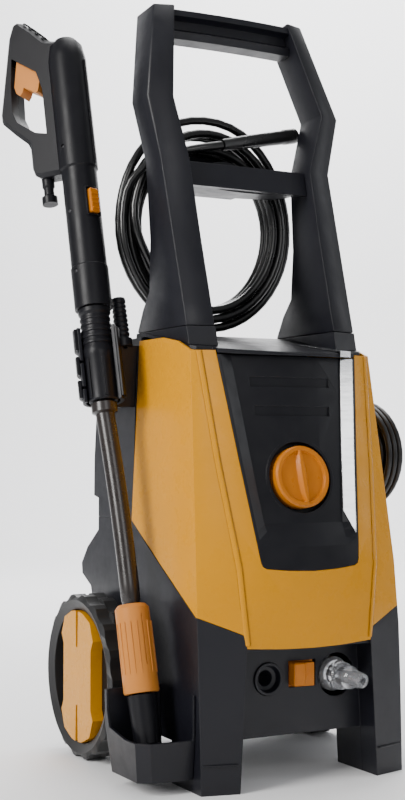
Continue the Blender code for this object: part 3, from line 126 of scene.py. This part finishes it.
# ---------------------------------------------------------------- materials
class Look:
    """Node tree of one procedural material."""

    def __init__(self, name):
        self.mat = bpy.data.materials.new(name)
        self.mat.use_nodes = True
        self.tree = self.mat.node_tree
        self.shader = self.tree.nodes["Principled BSDF"]
        coords = self.tree.nodes.new("ShaderNodeTexCoord")
        self.place = coords.outputs["Object"]

    def node(self, kind):
        return self.tree.nodes.new(kind)

    def link(self, out, into):
        self.tree.links.new(out, into)

    def noise(self, scale, detail=3.0, rough=0.5):
        made = self.node("ShaderNodeTexNoise")
        made.inputs["Scale"].default_value = scale
        made.inputs["Detail"].default_value = detail
        made.inputs["Roughness"].default_value = rough
        self.link(self.place, made.inputs["Vector"])
        return made.outputs["Fac"]

    def ramp(self, out, stops):
        made = self.node("ShaderNodeValToRGB")
        ends = made.color_ramp.elements
        ends[0].position, ends[0].color = stops[0][0], (*stops[0][1], 1)
        ends[1].position, ends[1].color = stops[-1][0], (*stops[-1][1], 1)
        for place, rgb in stops[1:-1]:
            more = ends.new(place)
            more.color = (*rgb, 1)
        self.link(out, made.inputs["Fac"])
        return made.outputs["Color"]

    def span(self, out, low, high, to_low, to_high):
        made = self.node("ShaderNodeMapRange")
        for key, value in (("From Min", low), ("From Max", high), ("To Min", to_low),
                           ("To Max", to_high)):
            made.inputs[key].default_value = value
        self.link(out, made.inputs["Value"])
        return made.outputs["Result"]

    def mix(self, share, a, b):
        made = self.node("ShaderNodeMix")
        made.data_type = "RGBA"
        for socket, value in ((made.inputs[0], share), (made.inputs[6], a), (made.inputs[7], b)):
            if isinstance(value, (tuple, float, int)):
                socket.default_value = value
            else:
                self.link(value, socket)
        return made.outputs[2]

    def edges(self, radius):
        """Normal with rounded edges, and a mask that is bright where an edge is."""
        soft = self.node("ShaderNodeBevel")
        soft.samples = 4
        soft.inputs["Radius"].default_value = radius
        plain = self.node("ShaderNodeNewGeometry")
        dot = self.node("ShaderNodeVectorMath")
        dot.operation = "DOT_PRODUCT"
        self.link(soft.outputs["Normal"], dot.inputs[0])
        self.link(plain.outputs["Normal"], dot.inputs[1])
        return soft.outputs["Normal"], self.span(dot.outputs["Value"], 0.99, 0.80, 0.0, 1.0)

    def bump(self, heights, normal=None):
        last = normal
        for out, strength, distance in heights:
            made = self.node("ShaderNodeBump")
            made.inputs["Strength"].default_value = strength
            made.inputs["Distance"].default_value = distance
            self.link(out, made.inputs["Height"])
            if last is not None:
                self.link(last, made.inputs["Normal"])
            last = made.outputs["Normal"]
        self.link(last, self.shader.inputs["Normal"])


def plastic(name, rgb, rough=0.42, grain=900.0, depth=0.00006, edge=0.0007, gloss=0.0, wear_and_highlight=0.35,
            specular=0.5, spread=0.10):
    """Moulded plastic: fine grain, cloudy tone, lighter edges that are partly scuff wear and partly
    painted highlight, a little dust.
    """
    look = Look(name)
    big = look.noise(9.0, 3.0)
    fine = look.noise(grain, 2.0, 0.6)
    scuff = look.noise(55.0, 5.0, 0.65)
    dark = tuple(c * (1 - spread) for c in rgb)
    light = tuple(min(1.0, c * (1 + spread) + 0.0006) for c in rgb)
    base = look.ramp(big, [(0.30, dark), (0.70, light)])
    normal, rim = look.edges(edge)
    # Painted highlight: edges are lightened in the base colour, partly as scuff wear and partly standing
    # in for the bright lines of light along them.
    wear_and_highlight_mask = look.node("ShaderNodeMath")
    wear_and_highlight_mask.operation = "MULTIPLY"
    look.link(rim, wear_and_highlight_mask.inputs[0])
    look.link(look.span(scuff, 0.35, 0.75, 0.1, wear_and_highlight), wear_and_highlight_mask.inputs[1])
    pale = tuple(min(1.0, c * 1.3 + 0.020) for c in rgb)
    look.link(look.mix(wear_and_highlight_mask.outputs[0], base, (*pale, 1.0)), look.shader.inputs["Base Color"])
    look.link(look.span(scuff, 0.3, 0.7, rough - 0.05, rough + 0.09), look.shader.inputs["Roughness"])
    look.shader.inputs["Specular IOR Level"].default_value = specular
    look.shader.inputs["Coat Weight"].default_value = gloss
    look.shader.inputs["Coat Roughness"].default_value = 0.12
    look.bump([(fine, 0.35, depth), (scuff, 0.12, 0.0002)], normal)
    return look.mat


def metal(name, rgb, rough=0.18, stretch=(1, 1, 60), depth=0.00003, edge=0.0005, darken=0.25):
    """Turned, cast or plated metal with faint directional marks and stains."""
    look = Look(name)
    shape = look.node("ShaderNodeMapping")
    shape.inputs["Scale"].default_value = stretch
    look.link(look.place, shape.inputs["Vector"])
    lines = look.node("ShaderNodeTexNoise")
    lines.inputs["Scale"].default_value = 70.0
    lines.inputs["Detail"].default_value = 4.0
    look.link(shape.outputs["Vector"], lines.inputs["Vector"])
    stain = look.noise(26.0, 4.0)
    dark = tuple(c * (1 - darken) for c in rgb)
    look.link(look.ramp(stain, [(0.32, dark), (0.62, rgb)]), look.shader.inputs["Base Color"])
    look.link(look.span(lines.outputs["Fac"], 0.3, 0.7, rough - 0.04, rough + 0.10),
              look.shader.inputs["Roughness"])
    look.shader.inputs["Metallic"].default_value = 1.0
    normal, _ = look.edges(edge)
    look.bump([(lines.outputs["Fac"], 0.25, depth)], normal)
    return look.mat


def rubber(name, rgb, rough=0.55, grain=500.0, sheen=0.15, edge=0.0006, spread=0.2, coat=0.0):
    """Cloudy rubber or soft cord cover with a fine skin."""
    look = Look(name)
    cloud = look.noise(14.0, 4.0)
    fine = look.noise(grain, 3.0, 0.6)
    dark = tuple(c * (1 - spread) for c in rgb)
    dusty = tuple(min(1.0, c * (1 + spread) + 0.0015) for c in rgb)
    look.link(look.ramp(cloud, [(0.35, dark), (0.68, dusty)]), look.shader.inputs["Base Color"])
    look.link(look.span(cloud, 0.3, 0.7, rough - 0.06, rough + 0.1), look.shader.inputs["Roughness"])
    look.shader.inputs["Sheen Weight"].default_value = sheen
    look.shader.inputs["Coat Weight"].default_value = coat
    look.shader.inputs["Coat Roughness"].default_value = 0.2
    normal, _ = look.edges(edge)
    look.bump([(fine, 0.4, 0.00008)], normal)
    return look.mat


def clear_plastic(name):
    """Clear moulding with a slightly uneven surface."""
    look = Look(name)
    cloud = look.noise(60.0, 3.0)
    look.link(look.ramp(cloud, [(0.3, (0.78, 0.80, 0.84)), (0.7, (0.90, 0.91, 0.93))]),
              look.shader.inputs["Base Color"])
    look.link(look.span(cloud, 0.3, 0.7, 0.03, 0.09), look.shader.inputs["Roughness"])
    look.shader.inputs["Transmission Weight"].default_value = 0.90
    look.shader.inputs["IOR"].default_value = 1.47
    normal, _ = look.edges(0.0005)
    look.bump([(cloud, 0.1, 0.0001)], normal)
    return look.mat


MATS = {
    "yellow_shell": plastic("yellow_shell", (0.57, 0.238, 0.0002), rough=0.27, grain=700.0,
                            depth=0.00003, edge=0.0010, gloss=0.0, wear_and_highlight=0.20, specular=0.20,
                            spread=0.03),
    "black_shell": plastic("black_shell", (0.0046, 0.0048, 0.0082), rough=0.38, grain=1100.0,
                           depth=0.00007, edge=0.0014, gloss=0.0, wear_and_highlight=0.35, specular=0.36),
    "gun_black": plastic("gun_black", (0.0050, 0.0050, 0.0070), rough=0.36, grain=1000.0,
                         depth=0.00006, edge=0.0009, gloss=0.0, wear_and_highlight=0.30, specular=0.20),
    "tube_black": plastic("tube_black", (0.0120, 0.0085, 0.0075), rough=0.26, grain=900.0,
                          depth=0.00004, edge=0.0005, gloss=0.1, wear_and_highlight=0.3, specular=0.5),
    "panel_black": plastic("panel_black", (0.0034, 0.0035, 0.0058), rough=0.36, grain=1200.0,
                           depth=0.00005, edge=0.0012, gloss=0.0, wear_and_highlight=0.25, specular=0.30),
    "orange_key": plastic("orange_key", (0.47, 0.140, 0.0003), rough=0.30, grain=800.0,
                          depth=0.00004, edge=0.0009, gloss=0.0, wear_and_highlight=0.25, specular=0.30,
                          spread=0.05),
    "soft_orange": plastic("soft_orange", (0.52, 0.190, 0.032), rough=0.46, grain=900.0,
                           depth=0.00005, edge=0.0007, gloss=0.0, wear_and_highlight=0.3, specular=0.22,
                           spread=0.05),
    "chrome": metal("chrome", (0.66, 0.67, 0.69), rough=0.16, stretch=(1, 1, 8), depth=0.00001,
                    edge=0.0010, darken=0.10),
    "clear_plastic": clear_plastic("clear_plastic"),
    "tyre_rubber": rubber("tyre_rubber", (0.0050, 0.0050, 0.0056), rough=0.46, grain=600.0,
                          sheen=0.04, edge=0.0012),
    "rim_black": plastic("rim_black", (0.0045, 0.0045, 0.0055), rough=0.5, grain=900.0,
                         depth=0.00006, edge=0.0008, specular=0.3),
    "black_rubber": rubber("black_rubber", (0.0030, 0.0030, 0.0034), rough=0.27, grain=700.0,
                           sheen=0.0, edge=0.0005, spread=0.15, coat=0.15),
    "cord_rubber": rubber("cord_rubber", (0.0050, 0.0050, 0.0056), rough=0.40, grain=900.0,
                          sheen=0.02, edge=0.0004, spread=0.15),
    "steel": metal("steel", (0.55, 0.56, 0.58), rough=0.26),
    # Painted shade: near-black screw steel stands in for the shade down in the screw recesses.
    "screw_painted_shade_dark": metal("screw_painted_shade_dark", (0.035, 0.035, 0.038), rough=0.45),
    "cast_alloy": metal("cast_alloy", (0.45, 0.46, 0.47), rough=0.42, stretch=(1, 1, 1),
                        depth=0.00015),
    "grey_plastic": plastic("grey_plastic", (0.16, 0.16, 0.17), rough=0.5),
}
SLOT_OF = {s["node"]: s["material_slot"] for s in frame["record"]["subparts"]}
SPECIAL = {
    "control_panel": "panel_black", "lance_tube": "tube_black",
    "wheel_rim_left": "rim_black", "wheel_rim_right": "rim_black",
    "cord_plug": "cord_rubber", "cord_gland": "cord_rubber",
}


# ---------------------------------------------------------------- smoothing of the CAD nodes
def smoother():
    """Joins the split corners, then shades smooth except across sharp edges."""
    tree = bpy.data.node_groups.new("smooth_by_angle", "GeometryNodeTree")
    tree.interface.new_socket("Geometry", in_out="INPUT", socket_type="NodeSocketGeometry")
    tree.interface.new_socket("Angle", in_out="INPUT", socket_type="NodeSocketFloat")
    tree.interface.new_socket("Geometry", in_out="OUTPUT", socket_type="NodeSocketGeometry")
    start = tree.nodes.new("NodeGroupInput")
    end = tree.nodes.new("NodeGroupOutput")
    merge = tree.nodes.new("GeometryNodeMergeByDistance")
    merge.inputs["Distance"].default_value = 0.000012
    faces = tree.nodes.new("GeometryNodeSetShadeSmooth")
    faces.domain = "FACE"
    faces.inputs["Shade Smooth"].default_value = True
    angle = tree.nodes.new("GeometryNodeInputMeshEdgeAngle")
    flat = tree.nodes.new("FunctionNodeCompare")
    flat.data_type = "FLOAT"
    flat.operation = "LESS_EQUAL"
    edges = tree.nodes.new("GeometryNodeSetShadeSmooth")
    edges.domain = "EDGE"
    tree.links.new(start.outputs["Geometry"], merge.inputs["Geometry"])
    tree.links.new(merge.outputs["Geometry"], faces.inputs["Geometry"])
    tree.links.new(faces.outputs["Geometry"], edges.inputs["Geometry"])
    tree.links.new(angle.outputs["Unsigned Angle"], flat.inputs[0])
    tree.links.new(start.outputs["Angle"], flat.inputs[1])
    tree.links.new(flat.outputs["Result"], edges.inputs["Shade Smooth"])
    tree.links.new(edges.outputs["Geometry"], end.inputs["Geometry"])
    return tree


SMOOTHER = smoother()
ANGLES = {"front_cover": 18, "control_panel": 14, "chrome_trim": 20, "tyre_left": 22, "tyre_right": 22}


def smooth(obj, degrees):
    made = obj.modifiers.new("smooth", "NODES")
    made.node_group = SMOOTHER
    name = [i.identifier for i in SMOOTHER.interface.items_tree if i.name == "Angle"][0]
    made[name] = math.radians(degrees)


def dress(obj, mat):
    obj.data.materials.clear()
    obj.data.materials.append(MATS[mat] if isinstance(mat, str) else mat)


def dress_nodes():
    for name, obj in NODES.items():
        dress(obj, SPECIAL.get(name, SLOT_OF[name]))
        smooth(obj, ANGLES.get(name, 32))


# ---------------------------------------------------------------- hose and mains cord
def poly_curve(name, points, diameter, mat):
    data = bpy.data.curves.new(name, "CURVE")
    data.dimensions = "3D"
    data.bevel_depth = diameter / 2
    data.bevel_resolution = 3
    data.use_fill_caps = True
    spline = data.splines.new("POLY")
    spline.points.add(len(points) - 1)
    for spot, point in zip(spline.points, points):
        spot.co = (*point, 1.0)
    spline.use_smooth = True
    obj = bpy.data.objects.new(name, data)
    bpy.context.scene.collection.objects.link(obj)
    obj.data.materials.append(MATS[mat])
    return obj


def hermite(a, b, da, db, count):
    """Points strictly between a and b on a cubic with those end directions."""
    out = []
    for i in range(1, count):
        t = i / count
        out.append(a * (2 * t ** 3 - 3 * t * t + 1) + da * (t ** 3 - 2 * t * t + t)
                   + b * (3 * t * t - 2 * t ** 3) + db * (t ** 3 - t * t))
    return out


def wound(spots, point, start, step, stagger, zone):
    """Turns through the cross-section spots, from angle start and in steps of about that angle.

    Each turn is short of a full circle by stagger, and slides over to the next spot in its
    last stretch, which is zone long, in radians.
    """
    out = []
    total = 2 * math.pi * len(spots) - stagger * (len(spots) - 1)
    count = int(total / step)
    period = 2 * math.pi - stagger
    for k in range(count + 1):
        phi = total * k / count
        index = min(int(phi // period), len(spots) - 1)
        gone = phi - index * period
        here = spots[index]
        left = period - gone
        if index < len(spots) - 1 and left < zone:
            u = 1 - left / zone
            u = u * u * (3 - 2 * u)
            after = spots[index + 1]
            here = (here[0] + (after[0] - here[0]) * u, here[1] + (after[1] - here[1]) * u)
        out.append(point(start - phi, *here))
    return out


# diameters, and the middle and the two half sizes of the hose coil and of the cord hank
HOSE_D, CORD_D = 0.010, 0.007
COIL_C, COIL_A, COIL_B = at(-0.018, 0.1920, 0.6138), 0.0985, 0.1083
HANK_C, HANK_A, HANK_B = at(0.1575, 0.1370, 0.3450), 0.0710, 0.0520
HOSE_SLEEVE_END, HOSE_PLUG_END = at(-0.0180, 0.1500, 0.7060), at(-0.0680, 0.1960, 0.6680)
HOSE_COMES_FROM = at(0.0970, 0.1765, 0.7340)
CORD_GLAND_END, CORD_PLUG_END = at(0.1350, 0.2500, 0.3150), at(0.1575, 0.1800, 0.2470)
CORD_COLUMN, CORD_LAYER = 0.0074, 0.0072


def length_of(points):
    return sum((q - p).length for p, q in zip(points, points[1:]))


def hose():
    """High pressure hose: from its thick end, round the coil on the saddle, to its plug."""
    def point(t, across, out):
        # the strands spread a little where they hang over the saddle
        top = max(0.0, math.cos(t)) ** 2
        r = out * (1 + 0.75 * top) + 0.0030 * top
        wave = 0.0012 * math.sin(3 * t + 40 * across)
        return Vector((COIL_C.x + (COIL_A + r) * math.sin(t), COIL_C.y + across + wave,
                       COIL_C.z + (COIL_B + r) * math.cos(t)))

    # two strands in the outer layer, three in the middle one and three in the inner one
    spots = [(-0.0054, 0.0106), (0.0054, 0.0106), (0.0108, 0.0), (0.0, 0.0), (-0.0108, 0.0),
             (-0.0108, -0.0106), (0.0, -0.0106), (0.0108, -0.0106)]
    coil = wound(spots, point, math.radians(-80), math.radians(8), math.radians(64), 0.75)
    lead = (HOSE_COMES_FROM - HOSE_SLEEVE_END).normalized() * -1
    first = (coil[1] - coil[0]).normalized()
    head = hermite(HOSE_SLEEVE_END, coil[0], lead * 0.10 + Vector((0, 0.015, 0)), first * 0.18, 12)
    last = (coil[-1] - coil[-2]).normalized()
    down = Vector((0.06, 0.05, -1)).normalized()
    tail = hermite(coil[-1], HOSE_PLUG_END, last * 0.12, down * 0.08, 9)
    points = [HOSE_SLEEVE_END] + head + coil + tail + [HOSE_PLUG_END]
    obj = poly_curve("high_pressure_hose", points, HOSE_D, "black_rubber")
    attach(obj, "base")
    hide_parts("hose_coil", "hose_tail")
    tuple(HOSE_SLEEVE_END)
    length_of(points)


def mains_cord():
    """Mains cord: from its gland, round the hank on the hook, down to its plug."""
    def point(t, across, out):
        return Vector((HANK_C.x + across, HANK_C.y + (HANK_A + out) * math.sin(t),
                       HANK_C.z + (HANK_B + out) * math.cos(t)))

    # layer and column of each turn, in the order that the cord fills them
    cells = ((3, 0), (2, 0), (1, 0), (0, 0), (0, 1), (0, 2), (1, 2), (1, 1), (2, 1), (3, 1), (3, 2))
    spots = [(CORD_COLUMN * (1 - column), CORD_LAYER * (layer - 1.5)) for layer, column in cells]
    wrap = wound(spots, point, math.radians(55), math.radians(10), math.radians(48.5), 0.85)
    first = (wrap[1] - wrap[0]).normalized()
    head = hermite(CORD_GLAND_END, wrap[0], Vector((1, 0, 0)) * 0.13, first * 0.06, 12)
    last = (wrap[-1] - wrap[-2]).normalized()
    tail = hermite(wrap[-1], CORD_PLUG_END, last * 0.065, Vector((0, 0, -1)) * 0.065, 10)
    points = [CORD_GLAND_END] + head + wrap + tail + [CORD_PLUG_END]
    obj = poly_curve("mains_cord", points, CORD_D, "cord_rubber")
    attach(obj, "base")
    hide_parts("cord_hank", "cord_tail")
    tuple(CORD_GLAND_END)
    length_of(points)


# ---------------------------------------------------------------- fine detail
def mesh_object(name, verts, faces, mat, body, flat=False):
    mesh = bpy.data.meshes.new(name)
    mesh.from_pydata(verts, [], faces)
    mesh.validate()
    for poly in mesh.polygons:
        poly.use_smooth = not flat
    obj = bpy.data.objects.new(name, mesh)
    bpy.context.scene.collection.objects.link(obj)
    dress(obj, mat)
    smooth(obj, 32)
    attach(obj, body)
    return obj


def turned(name, profile, place, mat, body, seg=28, ripple=None):
    """Closed lathe piece; ripple changes a radius with the angle."""
    verts, faces = [], []
    for i in range(seg):
        a = 2 * math.pi * i / seg
        for r, z in profile:
            rr = r + (ripple(a, r, z) if ripple and r > 0 else 0.0)
            verts.append(place @ Vector((rr * math.cos(a), rr * math.sin(a), z)))
    n = len(profile)
    for i in range(seg):
        j = (i + 1) % seg
        for k in range(n - 1):
            faces.append((i * n + k, j * n + k, j * n + k + 1, i * n + k + 1))
    return mesh_object(name, verts, faces, mat, body)


def long_frame(foot, head):
    """Local frame with Z along the lance, from foot to head, and X across it."""
    side = Vector((-0.559, 0.829, 0.0))
    z = (head - foot).normalized()
    x = (side - side.dot(z) * z).normalized()
    place = Matrix((x, z.cross(x), z)).transposed().to_4x4()
    place.translation = foot
    return place


GUN = long_frame(at(-0.1657, 0.0580, 0.0465), at(-0.1668, 0.2597, 0.8133))
TIP = long_frame(at(-0.1590, 0.0550, 0.0465), at(-0.1658, 0.2593, 0.8133))


def screws():
    """Cross-head screws in the recesses of the gun shell."""
    for i, s in enumerate((0.5220, 0.5950, 0.6750)):
        spot = GUN @ Matrix.Translation((0.0060, 0, s)) @ Matrix.Rotation(-math.pi / 2, 4, "X")
        head = 0.0200
        profile = [(0.0, head), (0.0010, head), (0.0018, head - 0.0002), (0.0023, head - 0.0007),
                   (0.0023, head - 0.0030)]

        def cross(a, r, z):
            return -0.0004 * max(0.0, math.cos(4 * a)) if 0.0009 < r < 0.0012 else 0.0

        # The near-black screw material is painted shade of the recesses.
        turned(f"gun_screw_{i}", profile, spot, "screw_painted_shade_dark", "spray_gun", 24, cross)


def inlet_knurl():
    """Lengthwise ribs round the clear collar."""
    low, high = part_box("inlet_collar")
    middle = (low + high) / 2
    radius = (high.x - low.x) / 2
    place = Matrix.Translation(Vector((middle.x, 0, middle.z))) @ Matrix.Rotation(math.pi / 2, 4, "X")
    verts, faces = [], []
    count = 28
    y0, y1 = -low.y - 0.0012, -high.y + 0.0040
    for i in range(count):
        a = 2 * math.pi * i / count
        across = Vector((-math.sin(a), math.cos(a), 0)) * 0.0006
        out = Vector((math.cos(a), math.sin(a), 0))
        base = len(verts)
        for z in (y1, y0):
            for side, r in ((-1, radius - 0.0004), (0, radius + 0.0004), (1, radius - 0.0004)):
                verts.append(place @ (out * r + across * side + Vector((0, 0, z))))
        faces += [(base, base + 1, base + 4, base + 3), (base + 1, base + 2, base + 5, base + 4),
                  (base, base + 2, base + 1), (base + 3, base + 4, base + 5),
                  (base, base + 3, base + 5, base + 2)]
    mesh_object("collar_knurl", verts, faces, "clear_plastic", "inlet_swivel")


def strip(name, line, place, width, thick, mat, body, out=Vector((0, 0, 1)), flat=0.6):
    """Closed bar of that width and thickness along a line, in a local frame; out is its thick way."""
    verts, faces = [], []
    n = len(line)
    for i, p in enumerate(line):
        p = Vector(p)
        a = Vector(line[max(i - 1, 0)])
        b = Vector(line[min(i + 1, n - 1)])
        way = (b - a).normalized()
        side = way.cross(out).normalized() * width / 2
        for s, h in ((-1, 0), (-flat, 1), (flat, 1), (1, 0)):
            verts.append(place @ (p + side * s + out * thick * h))
    for i in range(n - 1):
        for k in range(4):
            a, b = 4 * i + k, 4 * i + (k + 1) % 4
            faces.append((a, b, b + 4, a + 4))
    faces.append((3, 2, 1, 0))
    faces.append((4 * n - 4, 4 * n - 3, 4 * n - 2, 4 * n - 1))
    return mesh_object(name, verts, faces, mat, body)


def gun_detail():
    """Ribs on the back of the grip, the frame round the release key and the long seam."""
    for i, (x, z) in enumerate(((0.0245, 0.8262), (0.0325, 0.8360), (0.0405, 0.8450), (0.0480, 0.8530))):
        line = [(x + 0.0003, -0.0110, z), (x, -0.0060, z + 0.0004), (x, 0.0060, z + 0.0004),
                (x + 0.0003, 0.0110, z)]
        strip(f"grip_rib_{i}", line, GUN, 0.0042, 0.0022, "gun_black", "spray_gun",
              Vector((-0.70, 0, 0.70)))
    turn = GUN @ Matrix.Rotation(math.radians(-24), 4, "Z")
    half, low, high = 0.0082, 0.5860, 0.6200
    bars = ((-half, low, half, low), (-half, high, half, high),
            (-half, low, -half, high), (half, low, half, high))
    shell, crown = 0.0203, -0.0201
    for i, (y0, z0, y1, z1) in enumerate(bars):
        xa, xb = -math.sqrt(shell ** 2 - y0 * y0), -math.sqrt(shell ** 2 - y1 * y1)
        middle = crown if y0 != y1 else (xa + xb) / 2
        line = [(xa, y0, z0), (middle, (y0 + y1) / 2, (z0 + z1) / 2), (xb, y1, z1)]
        strip(f"key_frame_{i}", line, turn, 0.0024, 0.0026, "gun_black", "spray_gun",
              Vector((-1, 0, 0)))
    grip = [(-0.0215, 0.0, 0.6520), (-0.0228, 0.0, 0.6560), (-0.0228, 0.0, 0.7850)]
    strip("gun_spine", grip, GUN, 0.0030, 0.0012, "gun_black", "spray_gun", Vector((-1, 0, 0)))


def key_ridges():
    """Grip ridges on the release key of the lance."""
    turn = GUN @ Matrix.Rotation(math.radians(-24), 4, "Z")
    for i in range(4):
        z = 0.5930 + 0.0058 * i
        strip(f"key_ridge_{i}", [(-0.0253, -0.0046, z), (-0.0253, 0.0046, z)], turn, 0.0022, 0.0010,
              "orange_key", "button_body", Vector((-1, 0, 0)))


def sleeve_lines():
    """Fine lengthwise ribs on the spray sleeve, either side of its grooves."""
    for i in range(18):
        if i % 6 == 1:
            continue
        place = TIP @ Matrix.Rotation(math.radians(20 * i + 10), 4, "Z")
        strip(f"sleeve_rib_{i}", [(0.0184, 0, 0.0720), (0.0184, 0, 0.1260)], place, 0.0010, 0.0009,
              "soft_orange", "sleeve_body", Vector((1, 0, 0)))


def band(name, place, inner, outer, start, stop, low, high, mat, body, steps=14):
    """Closed curved plate round a local Z axis."""
    verts, faces = [], []
    for i in range(steps + 1):
        a = math.radians(start + (stop - start) * i / steps)
        for r, z in ((inner, low), (outer - 0.0004, low), (outer, low + 0.0006), (outer, high - 0.0006),
                     (outer - 0.0004, high), (inner, high)):
            verts.append(place @ Vector((r * math.cos(a), r * math.sin(a), z)))
    for i in range(steps):
        for k in range(6):
            a, b = 6 * i + k, 6 * i + (k + 1) % 6
            faces.append((a, b, b + 6, a + 6))
    faces.append(tuple(range(5, -1, -1)))
    faces.append(tuple(range(6 * steps, 6 * steps + 6)))
    return mesh_object(name, verts, faces, mat, body)


def clip_detail():
    """Fingers on the outer arm of the clip, the lip of its sprung flap and rings on the coupling."""
    for i, (low, high) in enumerate(((0.4300, 0.4545), (0.4020, 0.4230), (0.3760, 0.3960))):
        band(f"clip_finger_{i}", GUN, 0.02335, 0.0268, -8, 54 - 5 * i, low, high, "gun_black", "base")
    band("clip_flap_lip", GUN, 0.02335, 0.0258, 181, 214, 0.3730, 0.4530, "gun_black", "base")
    for i, z in enumerate((0.4360, 0.4430, 0.4500, 0.4570, 0.4640)):
        band(f"coupling_ring_{i}", GUN, 0.0163, 0.0174, 0, 360, z, z + 0.0034, "gun_black", "spray_gun",
             28)


def casing_ridges():
    """Soft creases from the panel's top corners down to the corners of the tongue."""
    table = ((0.1500, 0.0766, -0.0103), (0.229, 0.0850, -0.0080), (0.340, 0.0970, 0.0165),
             (0.4576, 0.1063, 0.0412))
    fine = []
    for (za, xa, ya), (zb, xb, yb) in zip(table, table[1:]):
        for k in range(8):
            t = k / 8
            fine.append((xa + (xb - xa) * t, ya + (yb - ya) * t, za + (zb - za) * t))
    fine.append((0.1063, 0.0412, 0.4570))
    for sign, label in ((-1, "left"), (1, "right")):
        line = [at(sign * x, y, z) for x, y, z in fine]
        out = Vector((sign * 0.35, -0.93, 0.10)).normalized()
        strip(f"casing_ridge_{label}", line, Matrix.Identity(4), 0.0070, 0.0005, "yellow_shell", "base",
              out, 0.08)


def feet_detail():
    """A thin band across the front face of each foot."""
    xa, ya = 0.0880, -0.0103
    xb, yb = 0.1248, 0.0008
    for sign, label in ((-1, "left"), (1, "right")):
        line = [at(sign * x, ya + (yb - ya) * (x - xa) / (xb - xa) - 0.0001, 0.0300)
                for x in (0.0880, 0.1000, 0.1120, 0.1240)]
        strip(f"foot_band_{label}_0", line, Matrix.Identity(4), 0.0022, 0.0008, "black_shell",
              "base", Vector((sign * 0.28, -0.96, 0)).normalized())


def main():
    camera()
    stage()
    dress_nodes()
    hose()
    mains_cord()
    screws()
    inlet_knurl()
    gun_detail()
    key_ridges()
    sleeve_lines()
    clip_detail()
    casing_ridges()
    feet_detail()


main()
